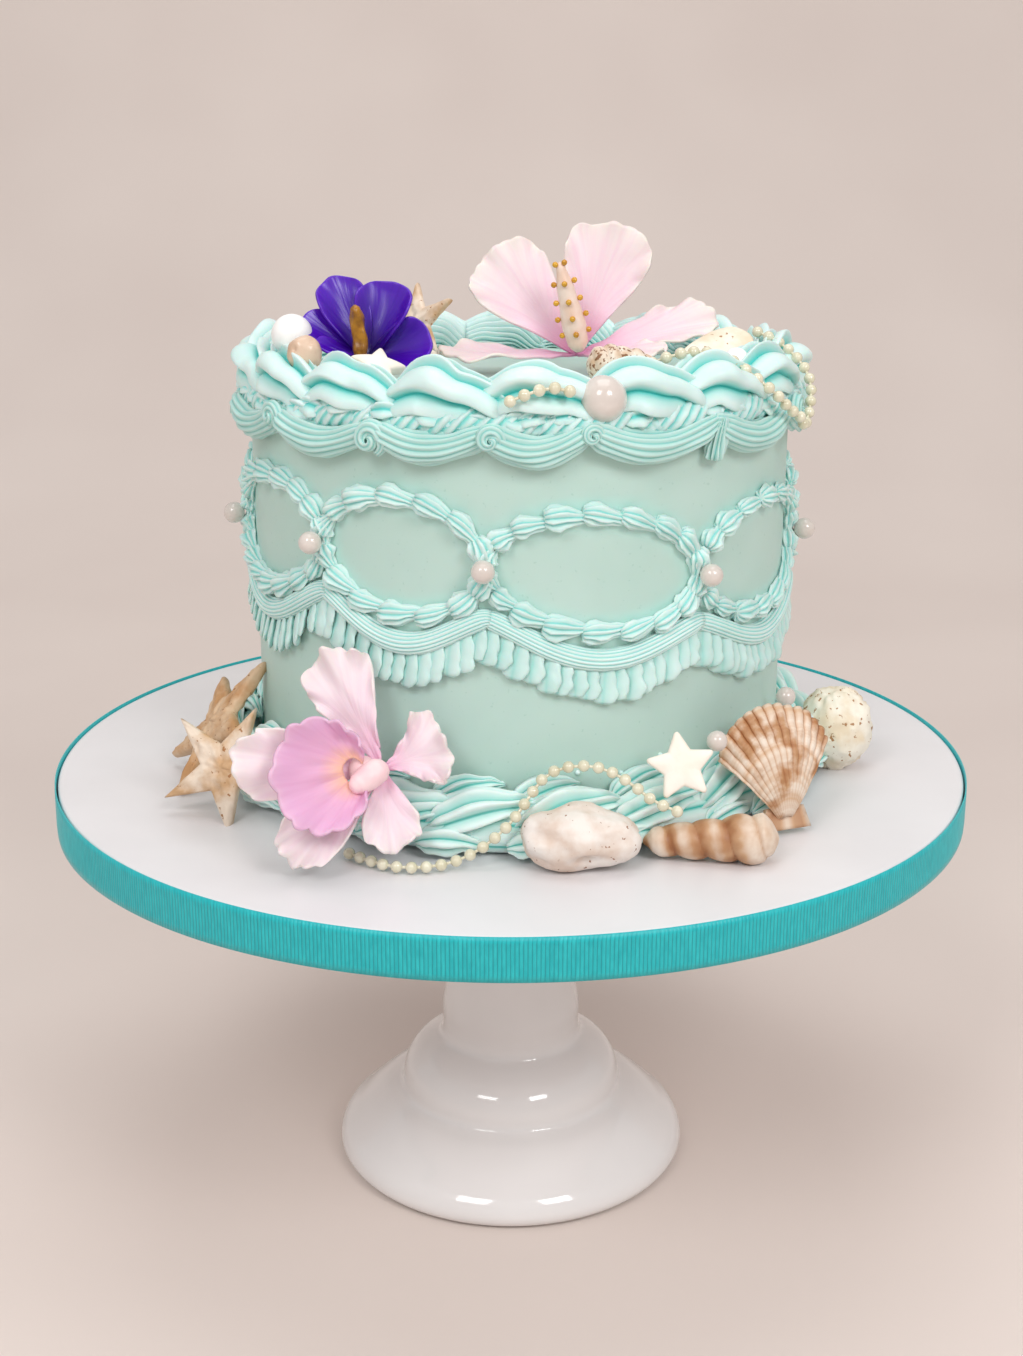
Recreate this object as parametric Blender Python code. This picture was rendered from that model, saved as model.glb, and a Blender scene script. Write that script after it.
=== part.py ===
"""A tall lambeth cake on a white pedestal stand, dressed with sugar flowers, seashells and pearls.

The floor is z = 0, the stand's axis is x = y = 0, and the cake is seen from -Y. Decorations are
placed from the top of the cake board, in millimetres, by the helper place().
"""

import math
import random

import bmesh
import bpy
from mathutils import Matrix, Vector, noise

MM = 0.001
UPWARD = Vector((0, 0, 1))
GAP = 0.35 * MM  # clearance left where one piece is let into another
FLAT_WITHIN = 0.3  # degrees: neighbouring facets flatter than this become one
SHARP_FROM = 40.0  # degrees: edges sharper than this are shaded as edges
WELD = 0.0001 * MM  # points nearer than this are one point

STAND_FOOT_RADIUS = 72.5 * MM
STAND_SEGMENTS = 20
RESTING_GAP = 0.3 * MM  # between two flat faces, one standing on the other
BOARD_RADIUS = 177.5 * MM  # a 14 inch drum
BOARD_THICKNESS = 13.0 * MM
BOARD_EDGE = 0.8 * MM
BOARD_TOP = 176.0 * MM
RIBBON_WIDTH = 15.5 * MM
RIBBON_THICKNESS = 1.0 * MM
RIBBON_CLEARANCE = 0.5 * MM
RIBBON_PROUD = 0.5 * MM  # above the board's top
CAKE_RADIUS = 101.3 * MM  # an 8 inch cake
CAKE_HEIGHT = 150.0 * MM
CAKE_SHOULDER = 4.0 * MM
CAKE_X = 3.4 * MM  # the cake sits a little right of the board's middle
CAKE_SEGMENTS = 42

WALL_CLEARANCE = 0.5 * MM  # between the cake's wall and the piping on it
PEARL_RADIUS = 4.0 * MM
SEEN_PEARL_ANGLES = (-81.4, -41.4, -6.6, 36.7, 80.8)
SEEN_PEARL_HEIGHTS = (100.4, 103.2, 99.2, 93.1, 94.5)
PEARL_COUNT = 9
HIDDEN_PEARL_HEIGHT = 97.5
OVAL_HALF_HEIGHT = 20.0
OVAL_BUMPS = 10
OVAL_PINCHED_WIDTH = 5.0  # between two bumps
OVAL_BUMP_WIDTH = 8.0
OVAL_PINCHED_DEPTH = 3.0  # between two bumps, and where the pearls sit
OVAL_BUMP_DEPTH = 4.8
SWAG_DROP = 12.5
SWAG_BELOW_PEARL = 17.0
SWAG_HALF_WIDTH = 3.6
SWAG_STEPS = 6
SWAG_SECTION = ((-1.0, 0.0), (-0.8, 3.2), (0.0, 4.4), (0.8, 3.2), (1.0, 0.0))  # (side, out)
RUFFLE_BELOW_SWAG = 1.0
RUFFLE_LENGTH = 11.5
RUFFLE_NOTCH = 2.6  # how much shorter the row is between two petals
RUFFLE_PETALS = 9
RUFFLE_PROUD = 4.2  # how far a petal stands out, and then the notch beside it
RUFFLE_LOW = 2.2
SEEN_SCALLOP_JOINTS = (-52.0, -27.0, -6.0, 12.7, 39.0, 66.0)
SCALLOP_COUNT = 15
SCALLOP_STEPS = 3
ROPE_HEIGHT = 141.5
ROPE_SAG = 5.5
ROPE_SECTION = ((-5.0, 0.0), (-4.0, 4.8), (0.5, 6.8), (6.0, 6.0), (11.0, 3.0), (11.0, 0.0))  # (up, out)
PUFF_COUNT = 18
PUFF_FIRST_HEAD = -47.0
PUFF_RUN = 27.0  # degrees from head to tail
# Stations of a puff, and of a shell of the base border: share of the run, radius, height of the middle.
PUFF_STATIONS = (
    (0.0, 3.5, 151.0), (0.14, 9.5, 155.0), (0.4, 11.0, 155.5), (0.72, 7.5, 152.5), (1.0, 2.5, 150.0),
)
BORDER_STATIONS = (
    (0.0, 3.0, 8.0), (0.18, 9.5, 10.0), (0.45, 12.0, 12.5), (0.8, 7.5, 17.0), (1.0, 3.0, 21.0),
)
BORDER_COUNT = 22
BORDER_RUN = 21.0
BED_SECTION = ((0.0, 0.4), (9.0, 0.4), (8.0, 12.0), (0.0, 20.0))  # (out, height)
BED_STEPS = 36
RIM_DETAIL = 0.255  # share of the facets kept where the fused strokes cross each other most
BASE_DETAIL = 0.32
BEAD_PITCH = 4.9 * MM
BEAD_RADIUS = 2.0 * MM
THREAD_RADIUS = 0.9 * MM
PETAL_THICKNESS = 1.4 * MM
AUGER_RADII = (1.5, 4.6, 5.2, 5.0, 6.9, 6.4, 7.8, 7.4, 8.6, 8.2, 8.8, 6.2, 2.5)  # pinched between whorls
CONCH_RADII = (2.6, 5.2, 6.8, 7.6, 7.2, 5.0)

# The strings of pearls, from the board's top: route points in millimetres.
FRONT_STRING = (
    (-0.2, -109, 155.4), (6.4, -108.6, 158.1), (11, -108.4, 159.2), (15, -108, 159.5), (18.5, -107.2, 158.6),
    (22.5, -106.6, 156.6),
)
RIGHT_STRING = (
    (48, -70, 163), (56, -72, 166), (63, -69, 166.5), (70, -67, 165.5), (77, -66, 162.5),
    (84, -66, 157.5), (91, -65, 152), (97, -60, 146), (102, -55, 142), (104, -50, 138.5),
    (106, -45, 141), (107.5, -40, 146), (108, -34, 152), (106, -29, 157), (102, -24, 161.5),
    (97, -18, 165), (91, -13, 167.5),
)
BASE_STRING = (
    (-55, -116, 2.6), (-48, -122, 2.6), (-39, -127.5, 2.6), (-29, -128, 2.6), (-20, -125.5, 3.2),
    (-12, -124.5, 6.5), (-5, -123.5, 11.5), (1, -121, 17), (6, -117, 23), (10.5, -114, 28.5),
    (16, -113, 31.8), (24, -113, 33.2), (32, -113.5, 32), (40, -115, 28), (48, -117, 22.2),
    (57.5, -119, 18.4),
)


def clear_scene():
    for obj in list(bpy.data.objects):
        bpy.data.objects.remove(obj, do_unlink=True)


def material(name, colour, roughness, metallic=0.0):
    """A Principled material, or the one already made under this name."""
    found = bpy.data.materials.get(name)
    if found:
        return found
    made = bpy.data.materials.new(name)
    made.use_nodes = True
    shader = made.node_tree.nodes["Principled BSDF"]
    shader.inputs["Base Color"].default_value = (*colour, 1.0)
    shader.inputs["Roughness"].default_value = roughness
    shader.inputs["Metallic"].default_value = metallic
    return made


def glazed_white():
    return material("glazed_white", (0.80, 0.78, 0.75), 0.12)


def board_white():
    return material("board_white", (0.79, 0.76, 0.74), 0.55)


def teal_ribbon():
    return material("teal_ribbon", (0.001, 0.38, 0.40), 0.6)


def sage_icing():
    return material("sage_icing", (0.50, 0.63, 0.56), 0.55)


def aqua_buttercream():
    return material("aqua_buttercream", (0.55, 0.80, 0.76), 0.5)


def pearl_cream():
    return material("pearl_cream", (0.76, 0.68, 0.58), 0.2)


def petal_pink():
    return material("petal_pink", (0.88, 0.72, 0.76), 0.5)


def lip_magenta():
    return material("lip_magenta", (0.78, 0.42, 0.62), 0.5)


def petal_violet():
    return material("petal_violet", (0.10, 0.025, 0.48), 0.35)


def stamen_gold():
    return material("stamen_gold", (0.45, 0.22, 0.03), 0.4)


def sugar_white():
    return material("sugar_white", (0.92, 0.86, 0.78), 0.5)


def tan_sugar():
    return material("tan_sugar", (0.68, 0.47, 0.30), 0.55)


def place(x, y, z):
    """A point given in millimetres from the middle of the board's top."""
    return Vector((x * MM, y * MM, z * MM + BOARD_TOP))


def around(degrees, radius, height):
    """A point round the cake's axis: the angle is from the front, positive to the right."""
    angle = math.radians(degrees)
    return Vector((CAKE_X + radius * math.sin(angle), -radius * math.cos(angle), BOARD_TOP + height))


def outward(degrees):
    """The level direction straight out from the cake's axis at this angle from the front."""
    angle = math.radians(degrees)
    return Vector((math.sin(angle), -math.cos(angle), 0))


def finished(name, mesh_builder, mat):
    """Turns a bmesh into a named object whose faces point out."""
    bmesh.ops.recalc_face_normals(mesh_builder, faces=mesh_builder.faces)
    mesh = bpy.data.meshes.new(name)
    mesh_builder.to_mesh(mesh)
    mesh_builder.free()
    mesh.materials.append(mat)
    mesh.shade_smooth()
    mesh.set_sharp_from_angle(angle=math.radians(SHARP_FROM))
    obj = bpy.data.objects.new(name, mesh)
    bpy.context.scene.collection.objects.link(obj)
    return obj


def loft(rings, closed=False):
    """Extrudes the first ring of points through the others; closed joins the last to the first."""
    bm = bmesh.new()
    face = bm.faces.new([bm.verts.new(point) for point in rings[0]])
    first = face
    for ring in rings[1:] + (rings[:1] if closed else []):
        result = bmesh.ops.extrude_face_region(bm, geom=[face])
        if face is not first:
            bmesh.ops.delete(bm, geom=[face], context="FACES_ONLY")
        face = next(item for item in result["geom"] if isinstance(item, bmesh.types.BMFace))
        for vertex, point in zip(face.verts, ring):
            vertex.co = point
    if closed:
        bmesh.ops.delete(bm, geom=[face, first], context="FACES_ONLY")
        bmesh.ops.remove_doubles(bm, verts=bm.verts, dist=WELD)
    return bm


def turned(profile, segments, middle_x=0.0):
    """Spins (radius, height) pairs, both ends on the axis, round the vertical through middle_x."""
    bm = bmesh.new()
    line = [bm.verts.new((middle_x + radius, 0, height)) for radius, height in profile]
    edges = [bm.edges.new(pair) for pair in zip(line, line[1:])]
    bmesh.ops.spin(
        bm, geom=line + edges, cent=(middle_x, 0, 0), axis=(0, 0, 1), angle=2 * math.pi,
        steps=segments, use_merge=True,
    )
    bmesh.ops.remove_doubles(bm, verts=bm.verts, dist=WELD)
    return bm


def baked(obj):
    """Applies the object's modifiers to its mesh."""
    graph = bpy.context.evaluated_depsgraph_get()
    mesh = bpy.data.meshes.new_from_object(obj.evaluated_get(graph))
    old = obj.data
    obj.modifiers.clear()
    obj.data = mesh
    bpy.data.meshes.remove(old)
    mesh.name = obj.name
    return obj


def keep_largest_body(obj):
    """Drops the loose scraps and sealed pockets that a cut or a join leaves."""
    bm = bmesh.new()
    bm.from_mesh(obj.data)
    left = set(bm.faces)
    bodies = []
    while left:
        body = []
        to_visit = [left.pop()]
        while to_visit:
            face = to_visit.pop()
            body.append(face)
            for edge in face.edges:
                for other in edge.link_faces:
                    if other in left and len(edge.link_faces) == 2:
                        left.remove(other)
                        to_visit.append(other)
        bodies.append(body)
    bodies.sort(key=lambda body: sum(face.calc_area() for face in body))
    scraps = [face for body in bodies[:-1] for face in body]
    bmesh.ops.delete(bm, geom=scraps, context="FACES")
    bmesh.ops.dissolve_limit(bm, angle_limit=math.radians(FLAT_WITHIN), verts=bm.verts, edges=bm.edges)
    bmesh.ops.triangulate(bm, faces=bm.faces)
    bm.to_mesh(obj.data)
    bm.free()


def boolean(obj, others, operation):
    """One Boolean of the object with all the others, which are then removed.

    Every solid here is closed, as the manifold solver needs.
    """
    group = bpy.data.collections.new("operands")
    for other in others:
        bpy.context.scene.collection.objects.unlink(other)
        group.objects.link(other)
    bpy.context.scene.collection.children.link(group)
    modifier = obj.modifiers.new(operation.lower(), "BOOLEAN")
    modifier.operation = operation
    modifier.operand_type = "COLLECTION"
    modifier.collection = group
    modifier.solver = "MANIFOLD"
    baked(obj)
    for other in others:
        bpy.data.objects.remove(other, do_unlink=True)
    bpy.data.collections.remove(group)


def joined(name, pieces):
    """Fuses the pieces into one body."""
    first = pieces[0]
    boolean(first, pieces[1:], "UNION")
    first.name = name
    first.data.name = name
    keep_largest_body(first)
    return first


def thinned(obj, keep):
    """Leaves this share of the object's facets."""
    decimate = obj.modifiers.new("fewer_facets", "DECIMATE")
    decimate.ratio = keep
    return baked(obj)


def grown_copy(obj, by):
    """A copy with each vertex moved out along its normal."""
    copy = bpy.data.objects.new(obj.name + "_cutter", obj.data.copy())
    bpy.context.scene.collection.objects.link(copy)
    copy.hide_render = True
    copy.display_type = "WIRE"
    offsets = [vertex.co + vertex.normal * by for vertex in copy.data.vertices]
    for vertex, point in zip(copy.data.vertices, offsets):
        vertex.co = point
    return copy


def bounds(obj):
    points = [vertex.co for vertex in obj.data.vertices]
    low = Vector(min(point[i] for point in points) for i in range(3))
    high = Vector(max(point[i] for point in points) for i in range(3))
    return low, high


def boxes_meet(first, second):
    (low_a, high_a), (low_b, high_b) = bounds(first), bounds(second)
    return all(low_a[i] - GAP < high_b[i] and low_b[i] - GAP < high_a[i] for i in range(3))


def let_in(pieces):
    """Cuts each piece clear of every piece before it, so the earlier ones keep their shape."""
    for index, obj in enumerate(pieces):
        for other in pieces[:index]:
            if boxes_meet(obj, other):
                boolean(obj, [grown_copy(other, GAP)], "DIFFERENCE")
        keep_largest_body(obj)


def make_stand():
    """Stepped foot, waisted neck and the plain plate that carries the board."""
    foot = STAND_FOOT_RADIUS / MM
    plate = (BOARD_TOP - BOARD_THICKNESS - RESTING_GAP) / MM
    outline = (
        (0, 0), (foot - 3.5, 0), (foot, 4.5), (foot - 1.5, 11), (65, 15.5), (57, 24), (46.5, 28.5),
        (45.3, 34.5), (40, 44), (30.5, 49.5), (28.5, 54), (29.5, 61), (24, 84), (23, 110), (28, 132),
        (42, 146), (132, 155.5), (134, plate), (0, plate),
    )
    profile = [(radius * MM, height * MM) for radius, height in outline]
    return finished("stand", turned(profile, STAND_SEGMENTS), glazed_white())


def make_board():
    """The round drum under the cake, its top edge slightly broken."""
    low = BOARD_TOP - BOARD_THICKNESS
    profile = [
        (0, low), (BOARD_RADIUS, low), (BOARD_RADIUS, BOARD_TOP - BOARD_EDGE),
        (BOARD_RADIUS - BOARD_EDGE, BOARD_TOP), (0, BOARD_TOP),
    ]
    return finished("board", turned(profile, CAKE_SEGMENTS), board_white())


def make_ribbon():
    """The band round the board, standing a little above its top edge."""
    inner = BOARD_RADIUS + RIBBON_CLEARANCE
    outer = inner + RIBBON_THICKNESS
    top = BOARD_TOP + RIBBON_PROUD
    low = top - RIBBON_WIDTH
    rings = []
    for step in range(CAKE_SEGMENTS):
        turn = Matrix.Rotation(2 * math.pi * step / CAKE_SEGMENTS, 3, "Z")
        corners = ((inner, low), (outer, low), (outer, top), (inner, top))
        rings.append([turn @ Vector((radius, 0, height)) for radius, height in corners])
    return finished("board_ribbon", loft(rings, closed=True), teal_ribbon())


def make_cake():
    """The iced cake, a plain drum with a small bevel round its top."""
    bottom = BOARD_TOP + RESTING_GAP
    top = BOARD_TOP + CAKE_HEIGHT
    profile = [
        (0, bottom), (CAKE_RADIUS, bottom), (CAKE_RADIUS, top - CAKE_SHOULDER),
        (CAKE_RADIUS - CAKE_SHOULDER, top), (0, top),
    ]
    return finished("cake_body", turned(profile, CAKE_SEGMENTS, CAKE_X), sage_icing())


def spread(seen, count):
    """The seen angles, then the rest evenly round the back, all rising through one turn."""
    gap = (seen[0] + 360 - seen[-1]) / (count - len(seen) + 1)
    return list(seen) + [seen[-1] + gap * step for step in range(1, count - len(seen) + 1)]


def pearl_spots():
    """(angle, height) of each pearl on the wall, round the whole cake."""
    angles = spread(SEEN_PEARL_ANGLES, PEARL_COUNT)
    hidden = [HIDDEN_PEARL_HEIGHT] * (PEARL_COUNT - len(SEEN_PEARL_HEIGHTS))
    return list(zip(angles, list(SEEN_PEARL_HEIGHTS) + hidden))


def bays():
    """Start and end (angle, height) of each stretch between two pearls."""
    spots = pearl_spots()
    return list(zip(spots, spots[1:] + [(spots[0][0] + 360, spots[0][1])]))


def mix(low, high, share):
    return low + (high - low) * share


def make_ovals():
    """Nine upright ovals of little shells on the wall, touching at the pearls."""
    frames = []
    for index, ((start, start_z), (end, end_z)) in enumerate(bays()):
        rings = []
        steps = 2 * OVAL_BUMPS
        for step in range(steps):
            turn = 2 * math.pi * step / steps
            share = 0.5 + 0.5 * math.cos(turn)
            bump = step % 2 == 1
            width = OVAL_BUMP_WIDTH if bump else OVAL_PINCHED_WIDTH
            depth = OVAL_BUMP_DEPTH if bump else OVAL_PINCHED_DEPTH
            ring = []
            for side, out in ((-0.5, 0.0), (0.0, 1.0), (0.5, 0.0)):
                aside = math.degrees(side * width * MM * math.cos(turn) / CAKE_RADIUS)
                height = mix(start_z, end_z, share) + (OVAL_HALF_HEIGHT + side * width) * math.sin(turn)
                reach = CAKE_RADIUS + WALL_CLEARANCE + out * depth * MM
                ring.append(around(mix(start, end, share) + aside, reach, height * MM))
            rings.append(ring)
        frames.append(finished(f"oval_{index}", loft(rings, closed=True), aqua_buttercream()))
    return joined("oval_frames", frames)


def swag_centre(share, start_z, end_z):
    """Height of a swag's middle line: high at the pearls, hanging between them."""
    sag = SWAG_DROP * (1 - (2 * share - 1) ** 2)
    return mix(start_z, end_z, share) - SWAG_BELOW_PEARL - sag


def make_swags():
    """The band that hangs from pearl to pearl, all round the wall."""
    rings = []
    for (start, start_z), (end, end_z) in bays():
        for step in range(SWAG_STEPS):
            share = step / SWAG_STEPS
            middle = swag_centre(share, start_z, end_z)
            rings.append([
                around(mix(start, end, share), CAKE_RADIUS + WALL_CLEARANCE + out * MM,
                       (middle + side * SWAG_HALF_WIDTH) * MM)
                for side, out in SWAG_SECTION
            ])
    return finished("swag_bands", loft(rings, closed=True), aqua_buttercream())


def make_ruffle():
    """The row of small upright petals that hangs below the swags."""
    rings = []
    for (start, start_z), (end, end_z) in bays():
        steps = 2 * RUFFLE_PETALS
        for step in range(steps):
            share = step / steps
            proud = step % 2 == 1
            top = swag_centre(share, start_z, end_z) - SWAG_HALF_WIDTH - RUFFLE_BELOW_SWAG
            low = top - (RUFFLE_LENGTH if proud else RUFFLE_LENGTH - RUFFLE_NOTCH)
            out = RUFFLE_PROUD if proud else RUFFLE_LOW
            section = ((0.0, top), (out, mix(low, top, 0.45)), (0.0, low))
            rings.append([
                around(mix(start, end, share), CAKE_RADIUS + WALL_CLEARANCE + depth * MM, height * MM)
                for depth, height in section
            ])
    return finished("wall_ruffle", loft(rings, closed=True), aqua_buttercream())


def make_side_pearls():
    out = CAKE_RADIUS + WALL_CLEARANCE + (OVAL_PINCHED_DEPTH + 0.4) * MM + PEARL_RADIUS
    return [
        make_ball(f"side_pearl_{index + 1}", around(angle, out, height * MM), PEARL_RADIUS)
        for index, (angle, height) in enumerate(pearl_spots())
    ]


def make_ball(name, centre, radius, columns=8, rows=4, mat=None):
    bm = bmesh.new()
    bmesh.ops.create_uvsphere(bm, u_segments=columns, v_segments=rows, radius=radius)
    bmesh.ops.translate(bm, verts=bm.verts, vec=centre)
    return finished(name, bm, mat or pearl_cream())


def star_stroke(name, spine, folds, depth=0.8, twist=0.0):
    """A piped star-tip stroke: spine holds (centre, out, up, radius) for each station."""
    rings = []
    for station, (centre, out, up, radius) in enumerate(spine):
        ring = []
        for corner in range(2 * folds):
            angle = math.pi * corner / folds + twist * station
            reach = radius * (1.0 if corner % 2 == 0 else depth)
            ring.append(centre + (out * math.cos(angle) + up * math.sin(angle)) * reach)
        rings.append(ring)
    return finished(name, loft(rings), aqua_buttercream())


def make_top_border(cake):
    """Rope of scallops round the rim with a puff stroke over every twenty degrees, fused."""
    joints = spread(SEEN_SCALLOP_JOINTS, SCALLOP_COUNT)
    rings = []
    for start, end in zip(joints, joints[1:] + [joints[0] + 360]):
        for step in range(SCALLOP_STEPS):
            share = step / SCALLOP_STEPS
            middle = ROPE_HEIGHT - ROPE_SAG * math.sin(math.pi * share)
            rings.append([
                around(mix(start, end, share), CAKE_RADIUS + WALL_CLEARANCE + out * MM, (middle + side) * MM)
                for side, out in ROPE_SECTION
            ])
    rope = finished("rim_rope", loft(rings, closed=True), aqua_buttercream())
    puffs = []
    for index in range(PUFF_COUNT):
        head = PUFF_FIRST_HEAD + 360 / PUFF_COUNT * index
        spine = []
        for share, radius, height in PUFF_STATIONS:
            degrees = head + PUFF_RUN * share
            centre = around(degrees, CAKE_RADIUS - (7 - 4 * share) * MM, height * MM)
            spine.append((centre, outward(degrees), UPWARD, radius * MM))
        puffs.append(star_stroke(f"puff_{index}", spine, folds=4, twist=0.2))
    border = joined("top_border", [rope] + puffs)
    boolean(border, [grown_copy(cake, 2 * GAP)], "DIFFERENCE")
    keep_largest_body(border)
    return thinned(border, RIM_DETAIL)


def make_base_border():
    """Loose star-tip shells heaped round the foot of the cake, fused."""
    shuffle = random.Random(7)
    wall = CAKE_RADIUS + WALL_CLEARANCE + 0.4 * MM
    bed = [
        [around(360 / BED_STEPS * step, wall + out * MM, height * MM) for out, height in BED_SECTION]
        for step in range(BED_STEPS)
    ]
    pieces = [finished("border_bed", loft(bed, closed=True), aqua_buttercream())]
    for index in range(BORDER_COUNT):
        head = 360 / BORDER_COUNT * index
        lift = shuffle.uniform(0.5, 2.5)
        spine = []
        for share, radius, height in BORDER_STATIONS:
            degrees = head + BORDER_RUN * share
            centre = around(degrees, CAKE_RADIUS + (12.5 - 4 * share) * MM, (height + lift) * MM)
            spine.append((centre, outward(degrees) * 0.85, UPWARD, radius * MM))
        twist = shuffle.uniform(-0.3, 0.3)
        pieces.append(star_stroke(f"border_{index}", spine, folds=3, depth=0.7, twist=twist))
    return thinned(joined("base_border", pieces), BASE_DETAIL)


def smooth_route(points, pitch):
    """Points one pitch apart along a Catmull-Rom curve through the given ones."""
    knots = [place(*point) for point in points]
    fine = []
    for index in range(len(knots) - 1):
        before = knots[max(index - 1, 0)]
        here, after = knots[index], knots[index + 1]
        beyond = knots[min(index + 2, len(knots) - 1)]
        for step in range(12):
            t = step / 12
            linear = after - before
            square = 2 * before - 5 * here + 4 * after - beyond
            cubic = 3 * here - before - 3 * after + beyond
            fine.append(0.5 * (2 * here + linear * t + square * t ** 2 + cubic * t ** 3))
    fine.append(knots[-1])
    spaced = [fine[0]]
    walked = 0.0
    for start, end in zip(fine, fine[1:]):
        length = (end - start).length
        while walked + length >= pitch:
            start = start + (end - start).normalized() * (pitch - walked)
            length = (end - start).length
            spaced.append(start.copy())
            walked = 0.0
        walked += length
    return spaced


def make_string(name, points):
    """A string of pearls as one slim tube that swells at each bead."""
    route = smooth_route(points, BEAD_PITCH / 2)
    rings = []
    for index, centre in enumerate(route):
        ahead = route[min(index + 1, len(route) - 1)] - route[max(index - 1, 0)]
        side = ahead.cross(UPWARD).normalized()
        up = side.cross(ahead).normalized()
        radius = BEAD_RADIUS if index % 2 == 0 else THREAD_RADIUS
        corners = (side, up, -side, -up)
        rings.append([centre + corner * radius for corner in corners])
    return finished(name, loft(rings), pearl_cream())


def sheet_solid(name, point_at, columns, rows, thickness, mat):
    """A thin curved sheet, both faces triangulated alike.

    point_at(u, v) gives its middle surface, with u from -1 to 1 and v from 0 to 1.
    """
    bm = bmesh.new()
    bmesh.ops.create_grid(bm, x_segments=columns, y_segments=rows, size=1)
    for vertex in bm.verts:
        vertex.co = point_at(vertex.co.x, 0.5 + 0.5 * vertex.co.y)
    bmesh.ops.triangulate(bm, faces=bm.faces)
    obj = finished(name, bm, mat)
    solidify = obj.modifiers.new("thickness", "SOLIDIFY")
    solidify.thickness = thickness
    solidify.offset = 0
    return baked(obj)


def petal(name, base, direction, facing, length, width, mat, cup=0.0, curl=0.0, ruffle=0.0, widest=0.65,
          seed=0.0, narrow=0.12, columns=4, rows=4):
    """A petal of the given length and width in millimetres, its inner side towards facing."""
    along = Vector(direction).normalized()
    across = along.cross(Vector(facing)).normalized()
    normal = across.cross(along)

    def point_at(u, v):
        if v > widest:
            part = (v - widest) / (1 - widest)
            half = max(math.sqrt(max(0.0, 1 - part ** 2.4)), 0.22)
        else:
            part = v / widest
            half = mix(narrow, 1.0, part * part * (3 - 2 * part))
        depth = cup * (u * u - 0.3) * half + curl * v * v
        depth += ruffle * math.sin(7 * v + 2.5 * u + seed) * abs(u) * v
        depth += 0.5 * ruffle * math.sin(5 * u + seed) * v * v
        return base + (across * (u * half * width / 2) + along * (v * length) + normal * depth) * MM

    return sheet_solid(name, point_at, columns, rows, PETAL_THICKNESS, mat)


def make_hibiscus():
    """Five pale petals round a tapering pistil, lying near the middle of the cake's top."""
    centre = place(25, 5, 157)
    pink = petal_pink()
    petals = [
        petal("hib_upper_left", centre, (-30, 11, 34), (0.1, -0.9, 0.4), 51, 40, pink, cup=4, curl=2,
              ruffle=2),
        petal("hib_upper_right", centre, (14, 13, 45), (0, -0.95, 0.3), 51, 40, pink, cup=4, curl=2, ruffle=2,
              seed=2),
        petal("hib_right", centre, (50, 4, 13), (-0.1, -0.6, 0.8), 53, 27, pink, cup=3, curl=-2, ruffle=2,
              seed=4),
        petal("hib_front", centre, (31, -24, 5), (0, -0.2, 1), 38, 24, pink, cup=2, curl=-2, ruffle=1.5,
              seed=1),
        petal("hib_left", centre, (-53, -7, 2), (0, -0.1, 1), 52, 28, pink, cup=2, curl=1, ruffle=1.5,
              seed=3),
    ]
    calyx = make_ball("hib_calyx", centre + Vector((0, 1, -1)) * MM, 4.5 * MM, mat=pink)
    flower = joined("hibiscus_petals", [calyx] + petals)
    base = centre + Vector((1, -6, 2)) * MM
    tip = place(18, -5, 192)
    axis = (tip - base).normalized()
    side = axis.cross(Vector((0, 1, 0))).normalized()
    fore = side.cross(axis)
    rings = [
        [base + axis * along * MM + (side * math.cos(turn) + fore * math.sin(turn)) * radius * MM
         for turn in (math.pi / 4 * step for step in range(8))]
        for along, radius in ((0, 2), (2, 4.2), (12, 4.6), (24, 3.6), (32, 2.4), (35, 1.2))
    ]
    pistil = finished("hibiscus_pistil", loft(rings), sugar_white())
    return [pistil, flower]


def make_violet():
    """The deep violet flower at the left of the top, with its bent stamen."""
    centre = place(-51, -42, 162)
    violet = petal_violet()
    petals = [
        petal("vio_left", centre, (-21, 2, 12), (0.5, -0.8, 0.4), 25, 15, violet, cup=3, curl=3, columns=3),
        petal("vio_upper_left", centre, (-11, 8, 25), (0.3, -0.9, 0.1), 30, 21, violet, cup=4, curl=2,
              columns=3),
        petal("vio_upper_right", centre, (8, 6, 23), (-0.2, -1, 0.1), 28, 27, violet, cup=5, curl=2,
              columns=3),
        petal("vio_right", centre, (20, -4, 4), (0, -0.8, 0.6), 24, 23, violet, cup=5, curl=2, columns=3),
        petal("vio_low", centre, (-16, -8, 3), (0, -0.3, 1), 19, 15, violet, cup=3, curl=2, columns=3),
    ]
    cup = make_ball("vio_cup", centre + Vector((0, 1, -1)) * MM, 3.6 * MM, mat=violet)
    flower = joined("violet_petals", [cup] + petals)
    base = centre + Vector((-1, -6, 0)) * MM
    rings = []
    for along, radius, back in ((0, 1.8, 0), (4, 3.2, 0), (11, 3.0, 0.5), (16, 2.4, 1.0), (18.5, 1.2, 0)):
        middle = base + Vector((-0.12 * along, -1.5 + back, along)) * MM
        rings.append([
            middle + Vector((math.cos(turn), math.sin(turn), 0)) * radius * MM
            for turn in (math.pi / 3 * step for step in range(6))
        ])
    return [finished("violet_stamen", loft(rings), stamen_gold()), flower]


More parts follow.
